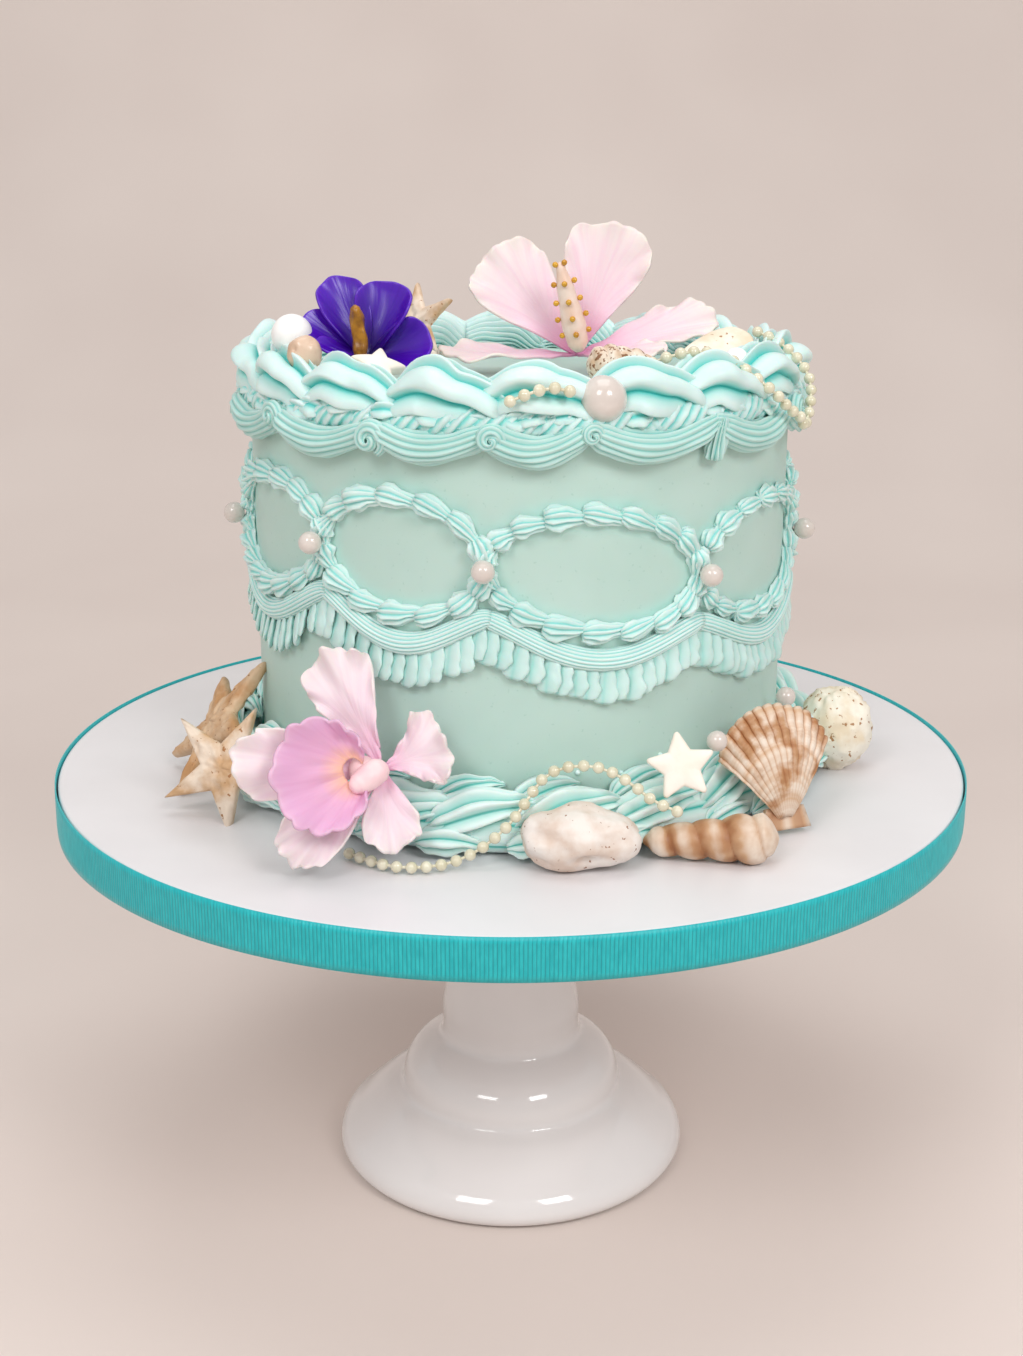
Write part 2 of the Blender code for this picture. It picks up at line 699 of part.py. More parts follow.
def make_orchid():
    """The large orchid that leans on the cake at the lower left."""
    centre = place(-43.5, -112, 32)
    right = Vector((0.966, 0.259, 0)).normalized()
    facing = Vector((-0.24, -0.90, 0.36)).normalized()
    up = facing.cross(right).normalized()

    def towards(x, y, z=0.0):
        return right * x + up * y + facing * z

    pink = petal_pink()
    petals = [
        petal("orc_top", centre, towards(-15.5, 38, -2), facing, 43, 30, pink, cup=2, curl=-3, ruffle=2,
              seed=1),
        petal("orc_left", centre, towards(-50, 6, 0), facing, 50, 30, pink, cup=-2, curl=2, ruffle=2, seed=3),
        petal("orc_low_left", centre, towards(-33, -27, 1), facing, 43, 28, pink, cup=2, curl=3, ruffle=2),
        petal("orc_low_right", centre, towards(3, -25, 6), facing + right * 0.4, 28, 25, pink, cup=4, curl=3,
              ruffle=2, seed=5),
        petal("orc_right", centre, towards(21, 4, 4), facing - right * 0.5, 25, 31, pink, cup=4, curl=4,
              ruffle=2, seed=2, widest=0.75),
    ]
    hub = make_ball("orc_hub", centre - facing * MM, 4.2 * MM, mat=pink)
    flower = joined("orchid_petals", [hub] + petals)

    throat = centre + towards(-7.5, -0.5, 5) * MM

    def lip_point(u, v):
        turn = math.radians(180 + 150 * u)
        wide = mix(4.0, 18.0, v)
        middle = towards(-8 * v, -1.3 * v, 2 + 9 * v * v)
        ripple = 1.6 * math.sin(10 * turn) * v ** 2
        rim = right * math.cos(turn) * wide * 0.88 + up * math.sin(turn) * wide * 1.05
        return throat + (middle + rim + facing * ripple) * MM

    lip = sheet_solid("orchid_lip", lip_point, 13, 3, PETAL_THICKNESS, lip_magenta())
    start = centre + towards(3.5, 0.5, 7) * MM
    rings = []
    for along, radius in ((0, 2.0), (1.5, 3.9), (7, 4.6), (12, 4.0), (14, 1.5)):
        middle = start + towards(-0.8 * along, -0.5 * along, 0.15 * along) * MM
        rings.append([
            middle + (up * math.cos(turn) + facing * math.sin(turn)) * radius * MM
            for turn in (math.pi / 4 * step for step in range(8))
        ])
    column = finished("orchid_column", loft(rings), petal_pink())
    return [column, lip, flower]


def star_solid(name, centre, facing, up, radius, thickness, mat, inner=0.45, spin=0.0, droop=0.0):
    """A five-armed star, thick in the middle, with rounded blunt arms."""
    facing = Vector(facing).normalized()
    up = (Vector(up) - facing * Vector(up).dot(facing)).normalized()
    right = up.cross(facing)

    def ring(scale, depth):
        points = []
        for arm in range(5):
            for offset, reach in ((-0.07, 0.97), (0.07, 0.97), (0.5, inner)):
                turn = math.radians(spin) + 2 * math.pi * (arm + offset) / 5
                far = reach * radius * scale
                sag = droop * (reach * reach)
                points.append(centre + right * math.sin(turn) * far + up * math.cos(turn) * far
                              + facing * (depth - sag * MM))
        return points

    half = thickness / 2
    bm = loft([ring(0.86, -half), ring(1.0, -0.2 * half), ring(0.8, 0.75 * half)])
    front = max(bm.faces, key=lambda face: (face.calc_center_median() - centre).dot(facing))
    poked = bmesh.ops.poke(bm, faces=[front])
    for vertex in poked["verts"]:
        vertex.co += facing * 0.5 * half
    return finished(name, bm, mat)


def lumpy(name, centre, size, mat, seed, lump=0.16, columns=10, rows=7):
    """A rounded pebble-like solid of the given size in millimetres, with seeded lumps."""
    bm = bmesh.new()
    bmesh.ops.create_uvsphere(bm, u_segments=columns, v_segments=rows, radius=1)
    for vertex in bm.verts:
        swell = 1 + lump * noise.noise(vertex.co * 1.7 + Vector((seed, 0, 0)))
        spot = vertex.co * swell / 2 * MM
        vertex.co = centre + Vector((spot.x * size[0], spot.y * size[1], spot.z * size[2]))
    return finished(name, bm, mat)


def spiral_shell(name, tail, mouth, radii, mat, columns=8):
    """A tapering seashell from its tail to its mouth, swelling and pinching at its whorls."""
    axis = mouth - tail
    ahead = axis.normalized()
    side = ahead.cross(UPWARD).normalized()
    up = side.cross(ahead)
    rings = []
    for index, radius in enumerate(radii):
        centre = tail + axis * (index / (len(radii) - 1))
        rings.append([
            centre + (side * math.cos(turn) + up * math.sin(turn)) * radius * MM
            for turn in (2 * math.pi * (step / columns + 0.12 * index) for step in range(columns))
        ])
    return finished(name, loft(rings), mat)


def make_scallop():
    """The ribbed fan that leans on the border at the right, hinge down."""
    hinge = place(97, -92, 3.5)
    facing = Vector((0.34, -0.88, 0.33)).normalized()
    right = Vector((0.93, 0.37, 0)).normalized()
    up = facing.cross(right).normalized()

    def fan_point(u, v):
        turn = math.radians(39) * u
        reach = mix(3.5, 42.0 - 8.0 * u * u, v)
        rib = 0.8 * math.cos(6 * math.pi * u) * v
        dome = 7.5 * math.sin(math.pi * min(v * 0.8 + 0.1, 1)) * (1 - 0.6 * u * u)
        spoke = right * math.sin(turn) + up * math.cos(turn)
        return hinge + (spoke * reach + facing * (dome + rib)) * MM

    fan = sheet_solid("fan", fan_point, 12, 3, 2.6 * MM, tan_sugar())
    ears = [hinge + (right * x + up * y + facing * 0.6) * MM for x, y in ((-9, -1), (9, -1), (8, 6), (-8, 6))]
    bm = loft([[point - facing * 1.6 * MM for point in ears], [point + facing * 1.6 * MM for point in ears]])
    return joined("scallop", [fan, finished("ears", bm, tan_sugar())])


def make_shells():
    """The other shells, stars and loose pearls, hard ones first."""
    white, tan = sugar_white(), tan_sugar()
    toward = Vector((0, -0.94, 0.34))
    return [
        make_ball("big_pearl", place(30.3, -99, 154.8), 7.6 * MM, 11, 7),
        make_ball("ball_pearl", place(-77.2, -42, 169.3), 7.3 * MM, 10, 7, white),
        make_ball("rim_pearl", place(79, -50, 161.5), 4.4 * MM),
        make_ball("base_pearl_front", place(70.6, -103, 38.6), 3.6 * MM),
        make_ball("base_pearl_right", place(101.5, -52, 38.5), 3.6 * MM),
        lumpy("snail", place(-71.5, -57, 164.5), (12.5, 9.5, 12.5), tan, 3.0, 0.1, 8, 6),
        spiral_shell("conch", place(52, -36, 158.3), place(27, -39, 158.3), CONCH_RADII, tan),
        petal("flat_shell", place(61.5, -32, 159.5), (26, 13, 8), (-0.2, -0.8, 0.7), 30, 19, white, cup=-3,
              curl=-2, narrow=0.5),
        star_solid("melted_star", place(-44.7, -75, 162.5), (0.2, -0.55, 0.8), UPWARD, 10.5 * MM, 5 * MM,
                   white, spin=20, droop=2.5),
        star_solid("starfish_top", place(-35, -8, 169.5), (-0.6, -0.65, 0.46), UPWARD, 18.5 * MM, 4 * MM,
                   tan, inner=0.36, spin=-22),
        lumpy("sugar_block", place(-30, 5, 155.2), (7, 6.5, 9.4), white, 9.0, 0.05, 6, 5),
        make_scallop(),
        spiral_shell("auger", place(45, -113.5, 6.2), place(91, -118.5, 9.3), AUGER_RADII, tan),
        lumpy("pebble_shell", place(23, -122.5, 11.2), (41, 25, 21.8), white, 1.0),
        lumpy("round_shell", place(126.5, -20, 16.2), (28.5, 27, 32), white, 5.0, 0.1),
        star_solid("sugar_star", place(57.8, -111, 32.2), toward, UPWARD, 12.7 * MM, 4.6 * MM, white, inner=0.52,
                   spin=-8),
        star_solid("starfish_front", place(-103.5, -74, 18.2), (-0.25, -0.9, 0.36), (0.45, 0, 1), 25 * MM,
                   6 * MM, tan, inner=0.36),
        star_solid("starfish_back", place(-112, -35, 22), (-0.74, -0.22, 0.63), (0.55, 0, 0.83), 33 * MM,
                   6 * MM, tan, inner=0.36, spin=-4),
    ]


def main():
    clear_scene()
    make_stand()
    make_ribbon()
    strings = [
        make_string("bead_string_front", FRONT_STRING),
        make_string("bead_string_right", RIGHT_STRING),
        make_string("bead_string_base", BASE_STRING),
    ]
    cake = make_cake()
    pieces = [make_board(), cake] + make_side_pearls() + strings + make_hibiscus() + make_violet()
    pieces += make_orchid() + make_shells()
    piping = [make_ovals(), make_swags(), make_ruffle(), make_top_border(cake), make_base_border()]
    let_in(pieces + piping)


main()
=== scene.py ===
# %% [markdown]
# # A lambeth cake, piped and dressed in Blender
# This lesson dresses a tall round cake: smooth sage icing, aqua buttercream piped over it in the
# old royal icing manner, sugar flowers, seashells and strings of pearls, all on a white board and
# a glazed stand. The frame holds plain solids at the true size, and each cell makes one finish or
# one piece that stands in for a solid.

# %% The frame
import math
import random

import bmesh
import bpy
import numpy as np
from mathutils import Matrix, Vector, noise


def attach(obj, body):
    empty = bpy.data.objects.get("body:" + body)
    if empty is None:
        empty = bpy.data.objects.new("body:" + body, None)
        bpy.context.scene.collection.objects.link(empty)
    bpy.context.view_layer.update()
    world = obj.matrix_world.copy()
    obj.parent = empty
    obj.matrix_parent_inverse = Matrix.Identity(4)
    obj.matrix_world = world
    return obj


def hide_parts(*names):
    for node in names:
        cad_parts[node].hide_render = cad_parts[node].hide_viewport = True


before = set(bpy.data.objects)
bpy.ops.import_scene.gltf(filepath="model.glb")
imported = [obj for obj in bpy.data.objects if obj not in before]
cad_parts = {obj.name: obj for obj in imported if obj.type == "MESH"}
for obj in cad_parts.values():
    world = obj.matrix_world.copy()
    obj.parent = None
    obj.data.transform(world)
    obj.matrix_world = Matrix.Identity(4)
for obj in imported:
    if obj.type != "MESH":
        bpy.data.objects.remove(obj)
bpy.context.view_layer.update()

# %% [markdown]
# Everything is measured in millimetres from the middle of the board's top, which is where a
# decorator measures from. `at` and `round_cake` turn such numbers into Blender's metres, `paint`
# reads a colour as a screen shows it, and `eased` draws a swelling line through a few stops.

# %% Measures
MM = 0.001
BOARD_TOP = 176.0 * MM
CAKE_X = 3.4 * MM
WALL = 101.3
CAKE_TOP = 150.0
UP = Vector((0, 0, 1))


def at(x, y, z):
    """A point in millimetres from the middle of the board's top."""
    return Vector((x * MM, y * MM, z * MM + BOARD_TOP))


def round_cake(degrees, radius, height):
    """A point at an angle from the front, positive to the right, round the cake's own middle."""
    turn = math.radians(degrees)
    reach = radius * MM
    return Vector((CAKE_X + reach * math.sin(turn), -reach * math.cos(turn), height * MM + BOARD_TOP))


def outward(point):
    """The direction straight out from the cake's axis at this point."""
    return Vector((point.x - CAKE_X, point.y, 0)).normalized()


def paint(red, green, blue):
    """A screen colour, each part 0 to 255, as linear light."""
    return tuple(((part / 255 + 0.055) / 1.055) ** 2.4 for part in (red, green, blue))


def eased(stops, share):
    """The value at this share along a list of (share, value) stops, without corners."""
    for (start, low), (end, high) in zip(stops, stops[1:]):
        if share <= end:
            part = (share - start) / (end - start)
            return low + (high - low) * part * part * (3 - 2 * part)
    return stops[-1][1]


def swelling(stops, size=1.0):
    """A function of the share along a stroke: its eased stops, times a size."""
    return lambda share: size * eased(stops, share)


def mixed(low, high, share):
    return low + (high - low) * share


# %% [markdown]
# A finish is a Principled shader with a few pattern nodes in front of it. `add` puts in a node and
# plugs in what it is given, and `ramp` turns a grey pattern into colours. Patterns read Object
# coordinates, or a number that the piece carries at each point, such as how deep it lies in a fold.
# Real icing and paste are never one flat colour, so even the plainest finish here is two-toned.

# %% Helpers for finishes
def add(tree, kind, inputs=None, **settings):
    made = tree.nodes.new("ShaderNode" + kind)
    for key, value in settings.items():
        setattr(made, key, value)
    for key, value in (inputs or {}).items():
        if isinstance(value, bpy.types.NodeSocket):
            tree.links.new(value, made.inputs[key])
        else:
            made.inputs[key].default_value = value
    return made


def ramp(tree, factor, stops):
    made = add(tree, "ValToRGB", {"Fac": factor})
    elements = made.color_ramp.elements
    elements.remove(elements[1])
    elements[0].position = stops[0][0]
    elements[0].color = (*stops[0][1], 1)
    for position, colour in stops[1:]:
        elements.new(position).color = (*colour, 1)
    return made.outputs["Color"]


def carried(tree, name):
    """A number that the mesh carries at each point."""
    return add(tree, "Attribute", attribute_name=name).outputs["Fac"]


def mottle(tree, scale, detail=3.0, stretch=(1, 1, 1)):
    """Soft noise in Object coordinates; scale is in patches for each metre."""
    place = add(tree, "TexCoord").outputs["Object"]
    spot = add(tree, "Mapping", {"Vector": place, "Scale": stretch}).outputs["Vector"]
    return add(tree, "TexNoise", {"Vector": spot, "Scale": scale, "Detail": detail}).outputs["Fac"]


def blend(tree, factor, first, second, how="MIX"):
    made = add(tree, "Mix", data_type="RGBA", blend_type=how)
    for socket, value in ((made.inputs[0], factor), (made.inputs[6], first), (made.inputs[7], second)):
        if isinstance(value, bpy.types.NodeSocket):
            tree.links.new(value, socket)
        else:
            socket.default_value = value if isinstance(value, float) else (*value, 1)
    return made.outputs[2]


def new_finish(name, roughness, **fixed):
    """An empty finish: its material, its node tree and its shader."""
    material = bpy.data.materials.new(name)
    material.use_nodes = True
    tree = material.node_tree
    shader = tree.nodes["Principled BSDF"]
    shader.inputs["Roughness"].default_value = roughness
    for key, value in fixed.items():
        shader.inputs[key.replace("_", " ")].default_value = value
    return material, tree, shader


def coloured(tree, shader, colour):
    tree.links.new(colour, shader.inputs["Base Color"])


def bumped(tree, shader, height, strength, distance):
    """Fine relief; distance is in metres."""
    bump = add(tree, "Bump", {"Height": height, "Strength": strength, "Distance": distance})
    tree.links.new(bump.outputs["Normal"], shader.inputs["Normal"])


def two_tone(name, roughness, scale, low, high, relief=None, stops=(0.35, 0.65), detail=3.0, **fixed):
    """A finish that drifts between two close colours; relief is (scale, detail, strength, metres)."""
    material, tree, shader = new_finish(name, roughness, **fixed)
    drift = [(stop, paint(*colour)) for stop, colour in zip(stops, (low, high))]
    coloured(tree, shader, ramp(tree, mottle(tree, scale, detail), drift))
    if relief:
        grain, grain_detail, strength, distance = relief
        bumped(tree, shader, mottle(tree, grain, grain_detail), strength, distance)
    return material


# %% [markdown]
# ## Icing and buttercream
# The cake is covered with smooth icing that takes light a little inside its skin, so the finish has
# weak subsurface scattering. The wall is painted brighter beside the ovals, a painted glow round the
# piping: the mesh carries that glow as a number.

# %% Sage icing
sage_icing, tree, shader = new_finish("sage_icing", 0.5, Subsurface_Weight=0.1, Subsurface_Scale=0.002)
clouds = ramp(tree, mottle(tree, 28), [(0.3, paint(184, 212, 202)), (0.7, paint(192, 217, 208))])
# The glow number paints the wall colour brighter beside the ovals: a painted glow round the piping.
painted_glow = blend(tree, carried(tree, "glow"), clouds, paint(190, 246, 238))
pits = ramp(tree, mottle(tree, 620, 1.0), [(0.70, (1, 1, 1)), (0.78, paint(238, 245, 243))])
coloured(tree, shader, blend(tree, 1.0, painted_glow, pits, "MULTIPLY"))
bumped(tree, shader, mottle(tree, 90, 6.0), 0.15, 0.0006)

# %% [markdown]
# Buttercream is painted paler on its ridges, a painted highlight where light shines through, and a
# strong teal deep in its folds, painted shade where light bounces from wall to wall. Each stroke
# carries the number fold, 1 on a ridge and 0 at the bottom of a groove.

# %% Aqua buttercream
def buttercream(name, deep, middle, high, roughness, shade=0.3):
    """Painted shade at the bottom of a fold, plain colour at the height shade, painted highlight on a ridge.
    """
    material, tree, shader = new_finish(name, roughness, Subsurface_Weight=0.12, Subsurface_Scale=0.002)
    stops = [(0.02, paint(*deep)), (shade, paint(*middle)), (0.85, paint(*high))]
    # The fold ramp paints shade into the grooves and a highlight onto the ridges.
    painted_fold_shading = ramp(tree, carried(tree, "fold"), stops)
    clouds = ramp(tree, mottle(tree, 60), [(0.3, paint(238, 246, 245)), (0.7, (1, 1, 1))])
    coloured(tree, shader, blend(tree, 1.0, painted_fold_shading, clouds, "MULTIPLY"))
    bumped(tree, shader, mottle(tree, 420, 4.0), 0.2, 0.0003)
    return material


# In each cream the first colour is painted shade deep in the folds and the last is painted highlight on the
# ridges.
rim_cream = buttercream("rim_buttercream", (40, 208, 202), (186, 232, 227), (220, 240, 237), 0.42, 0.5)
rope_cream = buttercream("rope_buttercream", (110, 196, 189), (180, 219, 212), (198, 228, 222), 0.45)
wall_cream = buttercream("wall_buttercream", (126, 216, 210), (206, 236, 231), (224, 243, 239), 0.45)
petal_cream = buttercream("petal_buttercream", (176, 226, 219), (196, 231, 225), (212, 237, 232), 0.26)
base_cream = buttercream("base_buttercream", (30, 184, 173), (196, 236, 230), (230, 246, 242), 0.42, 0.34)

# %% [markdown]
# ## The stand, the board and the ribbon
# The stand is turned from a profile: `spin` sweeps half of its outline round the upright axis, as a
# potter's wheel does. The outline is smoothed first so that the tiers flow into each other. `piece`
# finishes every object in this lesson: it welds the seams, turns the faces outward, and tells the
# frame which solid the object stands for.

# %% Turning
WELD = 0.001 * MM


def smooth_line(points, steps):
    """A Catmull-Rom line through the points, with this many steps between two of them."""
    knots = [Vector(point) for point in points]
    line = []
    for index in range(len(knots) - 1):
        before, here = knots[max(index - 1, 0)], knots[index]
        after, beyond = knots[index + 1], knots[min(index + 2, len(knots) - 1)]
        for step in range(steps):
            t = step / steps
            square = (2 * before - 5 * here + 4 * after - beyond) * t * t
            cube = (3 * here - before - 3 * after + beyond) * t ** 3
            line.append(0.5 * (2 * here + (after - before) * t + square + cube))
    return line + [knots[-1]]


def turned(profile, steps, middle_x=0.0):
    """Spins a line of (radius, 0, height) points, both ends on the axis."""
    bm = bmesh.new()
    line = [bm.verts.new((middle_x + point[0], 0, point[2])) for point in profile]
    edges = [bm.edges.new(pair) for pair in zip(line, line[1:])]
    bmesh.ops.spin(bm, geom=line + edges, cent=(middle_x, 0, 0), axis=UP, angle=2 * math.pi, steps=steps,
                   use_merge=True)
    return bm


def piece(name, bm, material, stands_for=()):
    """Makes a finished object from a bmesh: welded, facing out, smooth, and riding on the frame."""
    bmesh.ops.remove_doubles(bm, verts=bm.verts, dist=WELD)
    bmesh.ops.recalc_face_normals(bm, faces=bm.faces)
    mesh = bpy.data.meshes.new(name)
    bm.to_mesh(mesh)
    bm.free()
    mesh.materials.append(material)
    mesh.shade_smooth()
    obj = bpy.data.objects.new(name, mesh)
    bpy.context.scene.collection.objects.link(obj)
    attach(obj, "root")
    if stands_for:
        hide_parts(*stands_for)
    print(f"{name}: {len(mesh.polygons)} faces")
    return obj


# %% [markdown]
# The glaze is thick and glossy: a coat over a low roughness, with a slow swell in it that bends the
# reflections. The foot has three tiers, and the plate is hidden under the board.

# %% Stand
glaze = two_tone("white_glaze", 0.1, 12, (226, 222, 221), (233, 230, 229), (35, 1.0, 0.08, 0.001), (0.3, 0.7),
                 Coat_Weight=0.6, Coat_Roughness=0.04)

plate = BOARD_TOP - 13.3 * MM
foot_outline = smooth_line([
    (0.066, 0, 0.0004), (0.0695, 0, 0.0012), (0.0722, 0, 0.0042), (0.0722, 0, 0.0078), (0.0700, 0, 0.0120),
    (0.0655, 0, 0.0162), (0.0600, 0, 0.0212), (0.0535, 0, 0.0258), (0.0475, 0, 0.0283), (0.0458, 0, 0.0303),
    (0.0452, 0, 0.0345), (0.0435, 0, 0.0400), (0.0395, 0, 0.0452), (0.0340, 0, 0.0488), (0.0300, 0, 0.0512),
    (0.0287, 0, 0.0545), (0.0284, 0, 0.0590), (0.0284, 0, 0.0660), (0.0262, 0, 0.0780), (0.0240, 0, 0.0920),
    (0.0232, 0, 0.1100), (0.0280, 0, 0.1320), (0.0420, 0, 0.1460), (0.0900, 0, 0.1520), (0.1310, 0, 0.1556),
    (0.1340, 0, 0.1590),
], 4)
stand_profile = [(0, 0, 0)] + foot_outline + [(0.1335, 0, plate), (0, 0, plate)]
piece("glazed_stand", turned(stand_profile, 128), glaze, ["stand"])

# %% [markdown]
# The board is stiff card under white foil with a fine grain. It is turned too, with a small
# rounded edge.

# %% Board
board_foil = two_tone("board_foil", 0.36, 22, (225, 222, 224), (230, 227, 229), (700, 2.0, 0.12, 0.0002),
                      (0.35, 0.7), Coat_Weight=0.15, Coat_Roughness=0.25)

low = BOARD_TOP - 13 * MM
edge = [(0.1775, 0, low), (0.1775, 0, BOARD_TOP - 0.0010), (0.1772, 0, BOARD_TOP - 0.0004),
        (0.1766, 0, BOARD_TOP - 0.0001), (0.1758, 0, BOARD_TOP)]
board_profile = [(0, 0, low), (0.120, 0, low)] + edge + [(0.090, 0, BOARD_TOP), (0, 0, BOARD_TOP)]
piece("covered_board", turned(board_profile, 256), board_foil, ["board"])

# %% [markdown]
# Grosgrain ribbon has ribs across it, a little over a millimetre apart. They are real relief here: a
# grid with four columns to each rib is bent round the board, its ends are joined, and a thin wall is
# added. On the left the ribbon stands a little off the board, as a taped ribbon does.

# %% Ribbon
ribbon_cloth, tree, shader = new_finish("grosgrain", 0.42, Sheen_Weight=0.2, Sheen_Roughness=0.4)
weave = mottle(tree, 700, 2.0, (1, 1, 0.3))
threads = ramp(tree, weave, [(0.3, paint(0, 173, 179)), (0.7, paint(30, 190, 194))])
# The groove number paints the grooves between the ribs a darker teal: painted shade in the grooves.
coloured(tree, shader, blend(tree, carried(tree, "groove"), threads, paint(0, 136, 144)))
bumped(tree, shader, weave, 0.2, 0.0002)

RIB_COUNT = 830
RIB_RELIEF = 0.13
RIBBON_HEIGHT = 15.5 * MM
RIBBON_FOOT = BOARD_TOP - 15.0 * MM
RIBBON_REACH = 178.4 * MM
LOOSE_SIDE = math.radians(205)

bm = bmesh.new()
groove = bm.verts.layers.float.new("groove")
bmesh.ops.create_grid(bm, x_segments=RIB_COUNT * 4, y_segments=6, size=0.5)
for vertex in bm.verts:
    turn = 2 * math.pi * (vertex.co.x + 0.5)
    height = vertex.co.y + 0.5
    ribbed = min(1.0, 7 * height, 7 * (1 - height))
    rib = math.cos(RIB_COUNT * turn)
    left = max(0.0, math.cos(turn - LOOSE_SIDE)) ** 8
    slack = left * (0.35 + 0.2 * math.sin(9 * turn)) * (1 - height)
    droop = (0.2 * math.sin(7 * turn + 1) - 1.1) * (1 - height) * left
    reach = RIBBON_REACH + (RIB_RELIEF * rib * ribbed + slack) * MM
    rise = RIBBON_FOOT + height * RIBBON_HEIGHT + droop * MM
    vertex.co = (reach * math.cos(turn), reach * math.sin(turn), rise)
    # groove is 1 at the bottom of each rib's groove, where the finish paints shade.
    vertex[groove] = max(0.0, -rib) * ribbed
ribbon = piece("grosgrain_ribbon", bm, ribbon_cloth, ["board_ribbon"])
band = ribbon.modifiers.new("cloth", "SOLIDIFY")
band.thickness = 0.4 * MM
band.offset = 0

# %% [markdown]
# ## The cake's wall
# The ovals are the key to the whole pattern: pearls stand at nine angles, and each bay between two
# pearls holds an oval, a swag and a row of petals. Five pearls stand where the photograph shows
# them, and four more share out the back.

# %% Bays between the pearls
SEEN_ANGLES = (-81.4, -41.4, -6.6, 36.7, 80.8)
SEEN_HEIGHTS = (100.4, 103.2, 99.2, 93.1, 94.5)
BACK_STEP = (360 + SEEN_ANGLES[0] - SEEN_ANGLES[-1]) / 5
BACK_HEIGHT = 97.5
PEARLS = list(zip(SEEN_ANGLES, SEEN_HEIGHTS))
PEARLS += [(SEEN_ANGLES[-1] + BACK_STEP * step, BACK_HEIGHT) for step in range(1, 5)]
BAYS = list(zip(PEARLS, PEARLS[1:] + [(PEARLS[0][0] + 360, PEARLS[0][1])]))
OVAL_RISE = 20.0


def oval_point(bay, turn, radius):
    """A point on a bay's oval: turn is 0 at its right pearl and pi at its left one."""
    (start, start_z), (end, end_z) = bay
    share = 0.5 + 0.5 * math.cos(turn)
    height = mixed(start_z, end_z, share) + OVAL_RISE * math.sin(turn)
    return round_cake(mixed(start, end, share), radius, height)


# %% [markdown]
# The cake is turned as well, from a profile with a ring every two millimetres, because the painted
# glow beside the piping is a number at each point and needs points to carry it. The number fades
# with the distance to the nearest oval, and a little noise keeps it from looking sprayed on.

# %% Wall
SHOULDER = 4
GLOW = 0.34
GLOW_START = 3.5
GLOW_FADE = 2.6
heights = [0.3, 2, 4] + [4 + 2.2 * step for step in range(1, 64)] + [CAKE_TOP - SHOULDER]
shoulder = [(WALL - SHOULDER + SHOULDER * math.cos(turn), CAKE_TOP - SHOULDER + SHOULDER * math.sin(turn))
            for turn in (math.radians(15 * step) for step in range(1, 7))]
middle = [(80, CAKE_TOP), (50, CAKE_TOP), (0, CAKE_TOP)]
outline = [(0, 0.3)] + [(WALL, height) for height in heights] + shoulder + middle
bm = turned([(radius * MM, 0, BOARD_TOP + height * MM) for radius, height in outline], 256, CAKE_X)
icing = piece("iced_cake", bm, sage_icing, ["cake_body"])

# The glow number paints the wall brighter beside the ovals: a painted glow round the piping.
points = np.array([vertex.co for vertex in icing.data.vertices])
curve = np.array([oval_point(bay, math.radians(4 * step), WALL) for bay in BAYS for step in range(90)])
nearest = np.array([np.sqrt(((curve - point) ** 2).sum(1).min()) for point in points]) / MM
glow = GLOW * np.exp(-((nearest - GLOW_START).clip(0) / GLOW_FADE) ** 2)
patchy = np.array([0.8 + 0.5 * noise.noise(Vector(point) * 35) for point in points])
layer = icing.data.attributes.new("glow", "FLOAT", "POINT")
layer.data.foreach_set("value", (glow * patchy).astype(np.float32))

# %% [markdown]
# ## Piped strokes
# A star tip leaves a stroke with ridges along it. A grid is wrapped round the stroke's middle line,
# and its reach shrinks in each groove. Crest 0 gives the round ridges of a big open tip and crest 1
# the sharp ones of a small closed tip. Lips moves the ridges over sideways, so that they overhang
# the grooves, and heavy makes the ridges on the upper side broader than those below. A curve with
# a bevel would be quicker, but its section stays the same all along, and a hand's never does.

# %% One stroke
TOP_SIDE = math.radians(150)


def frames_along(path, out_at, roll, shares):
    """Centre, sideways and outward directions at each share of a path."""
    made = []
    for share in shares:
        centre = path(share)
        ahead = (path(min(share + 0.02, 1.0)) - path(max(share - 0.02, 0.0))).normalized()
        out = out_at(centre)
        out = (out - ahead * out.dot(ahead)).normalized()
        side = ahead.cross(out)
        rolled_side = side * math.cos(roll) + out * math.sin(roll)
        rolled_out = out * math.cos(roll) - side * math.sin(roll)
        made.append((centre, rolled_side, rolled_out))
    return made


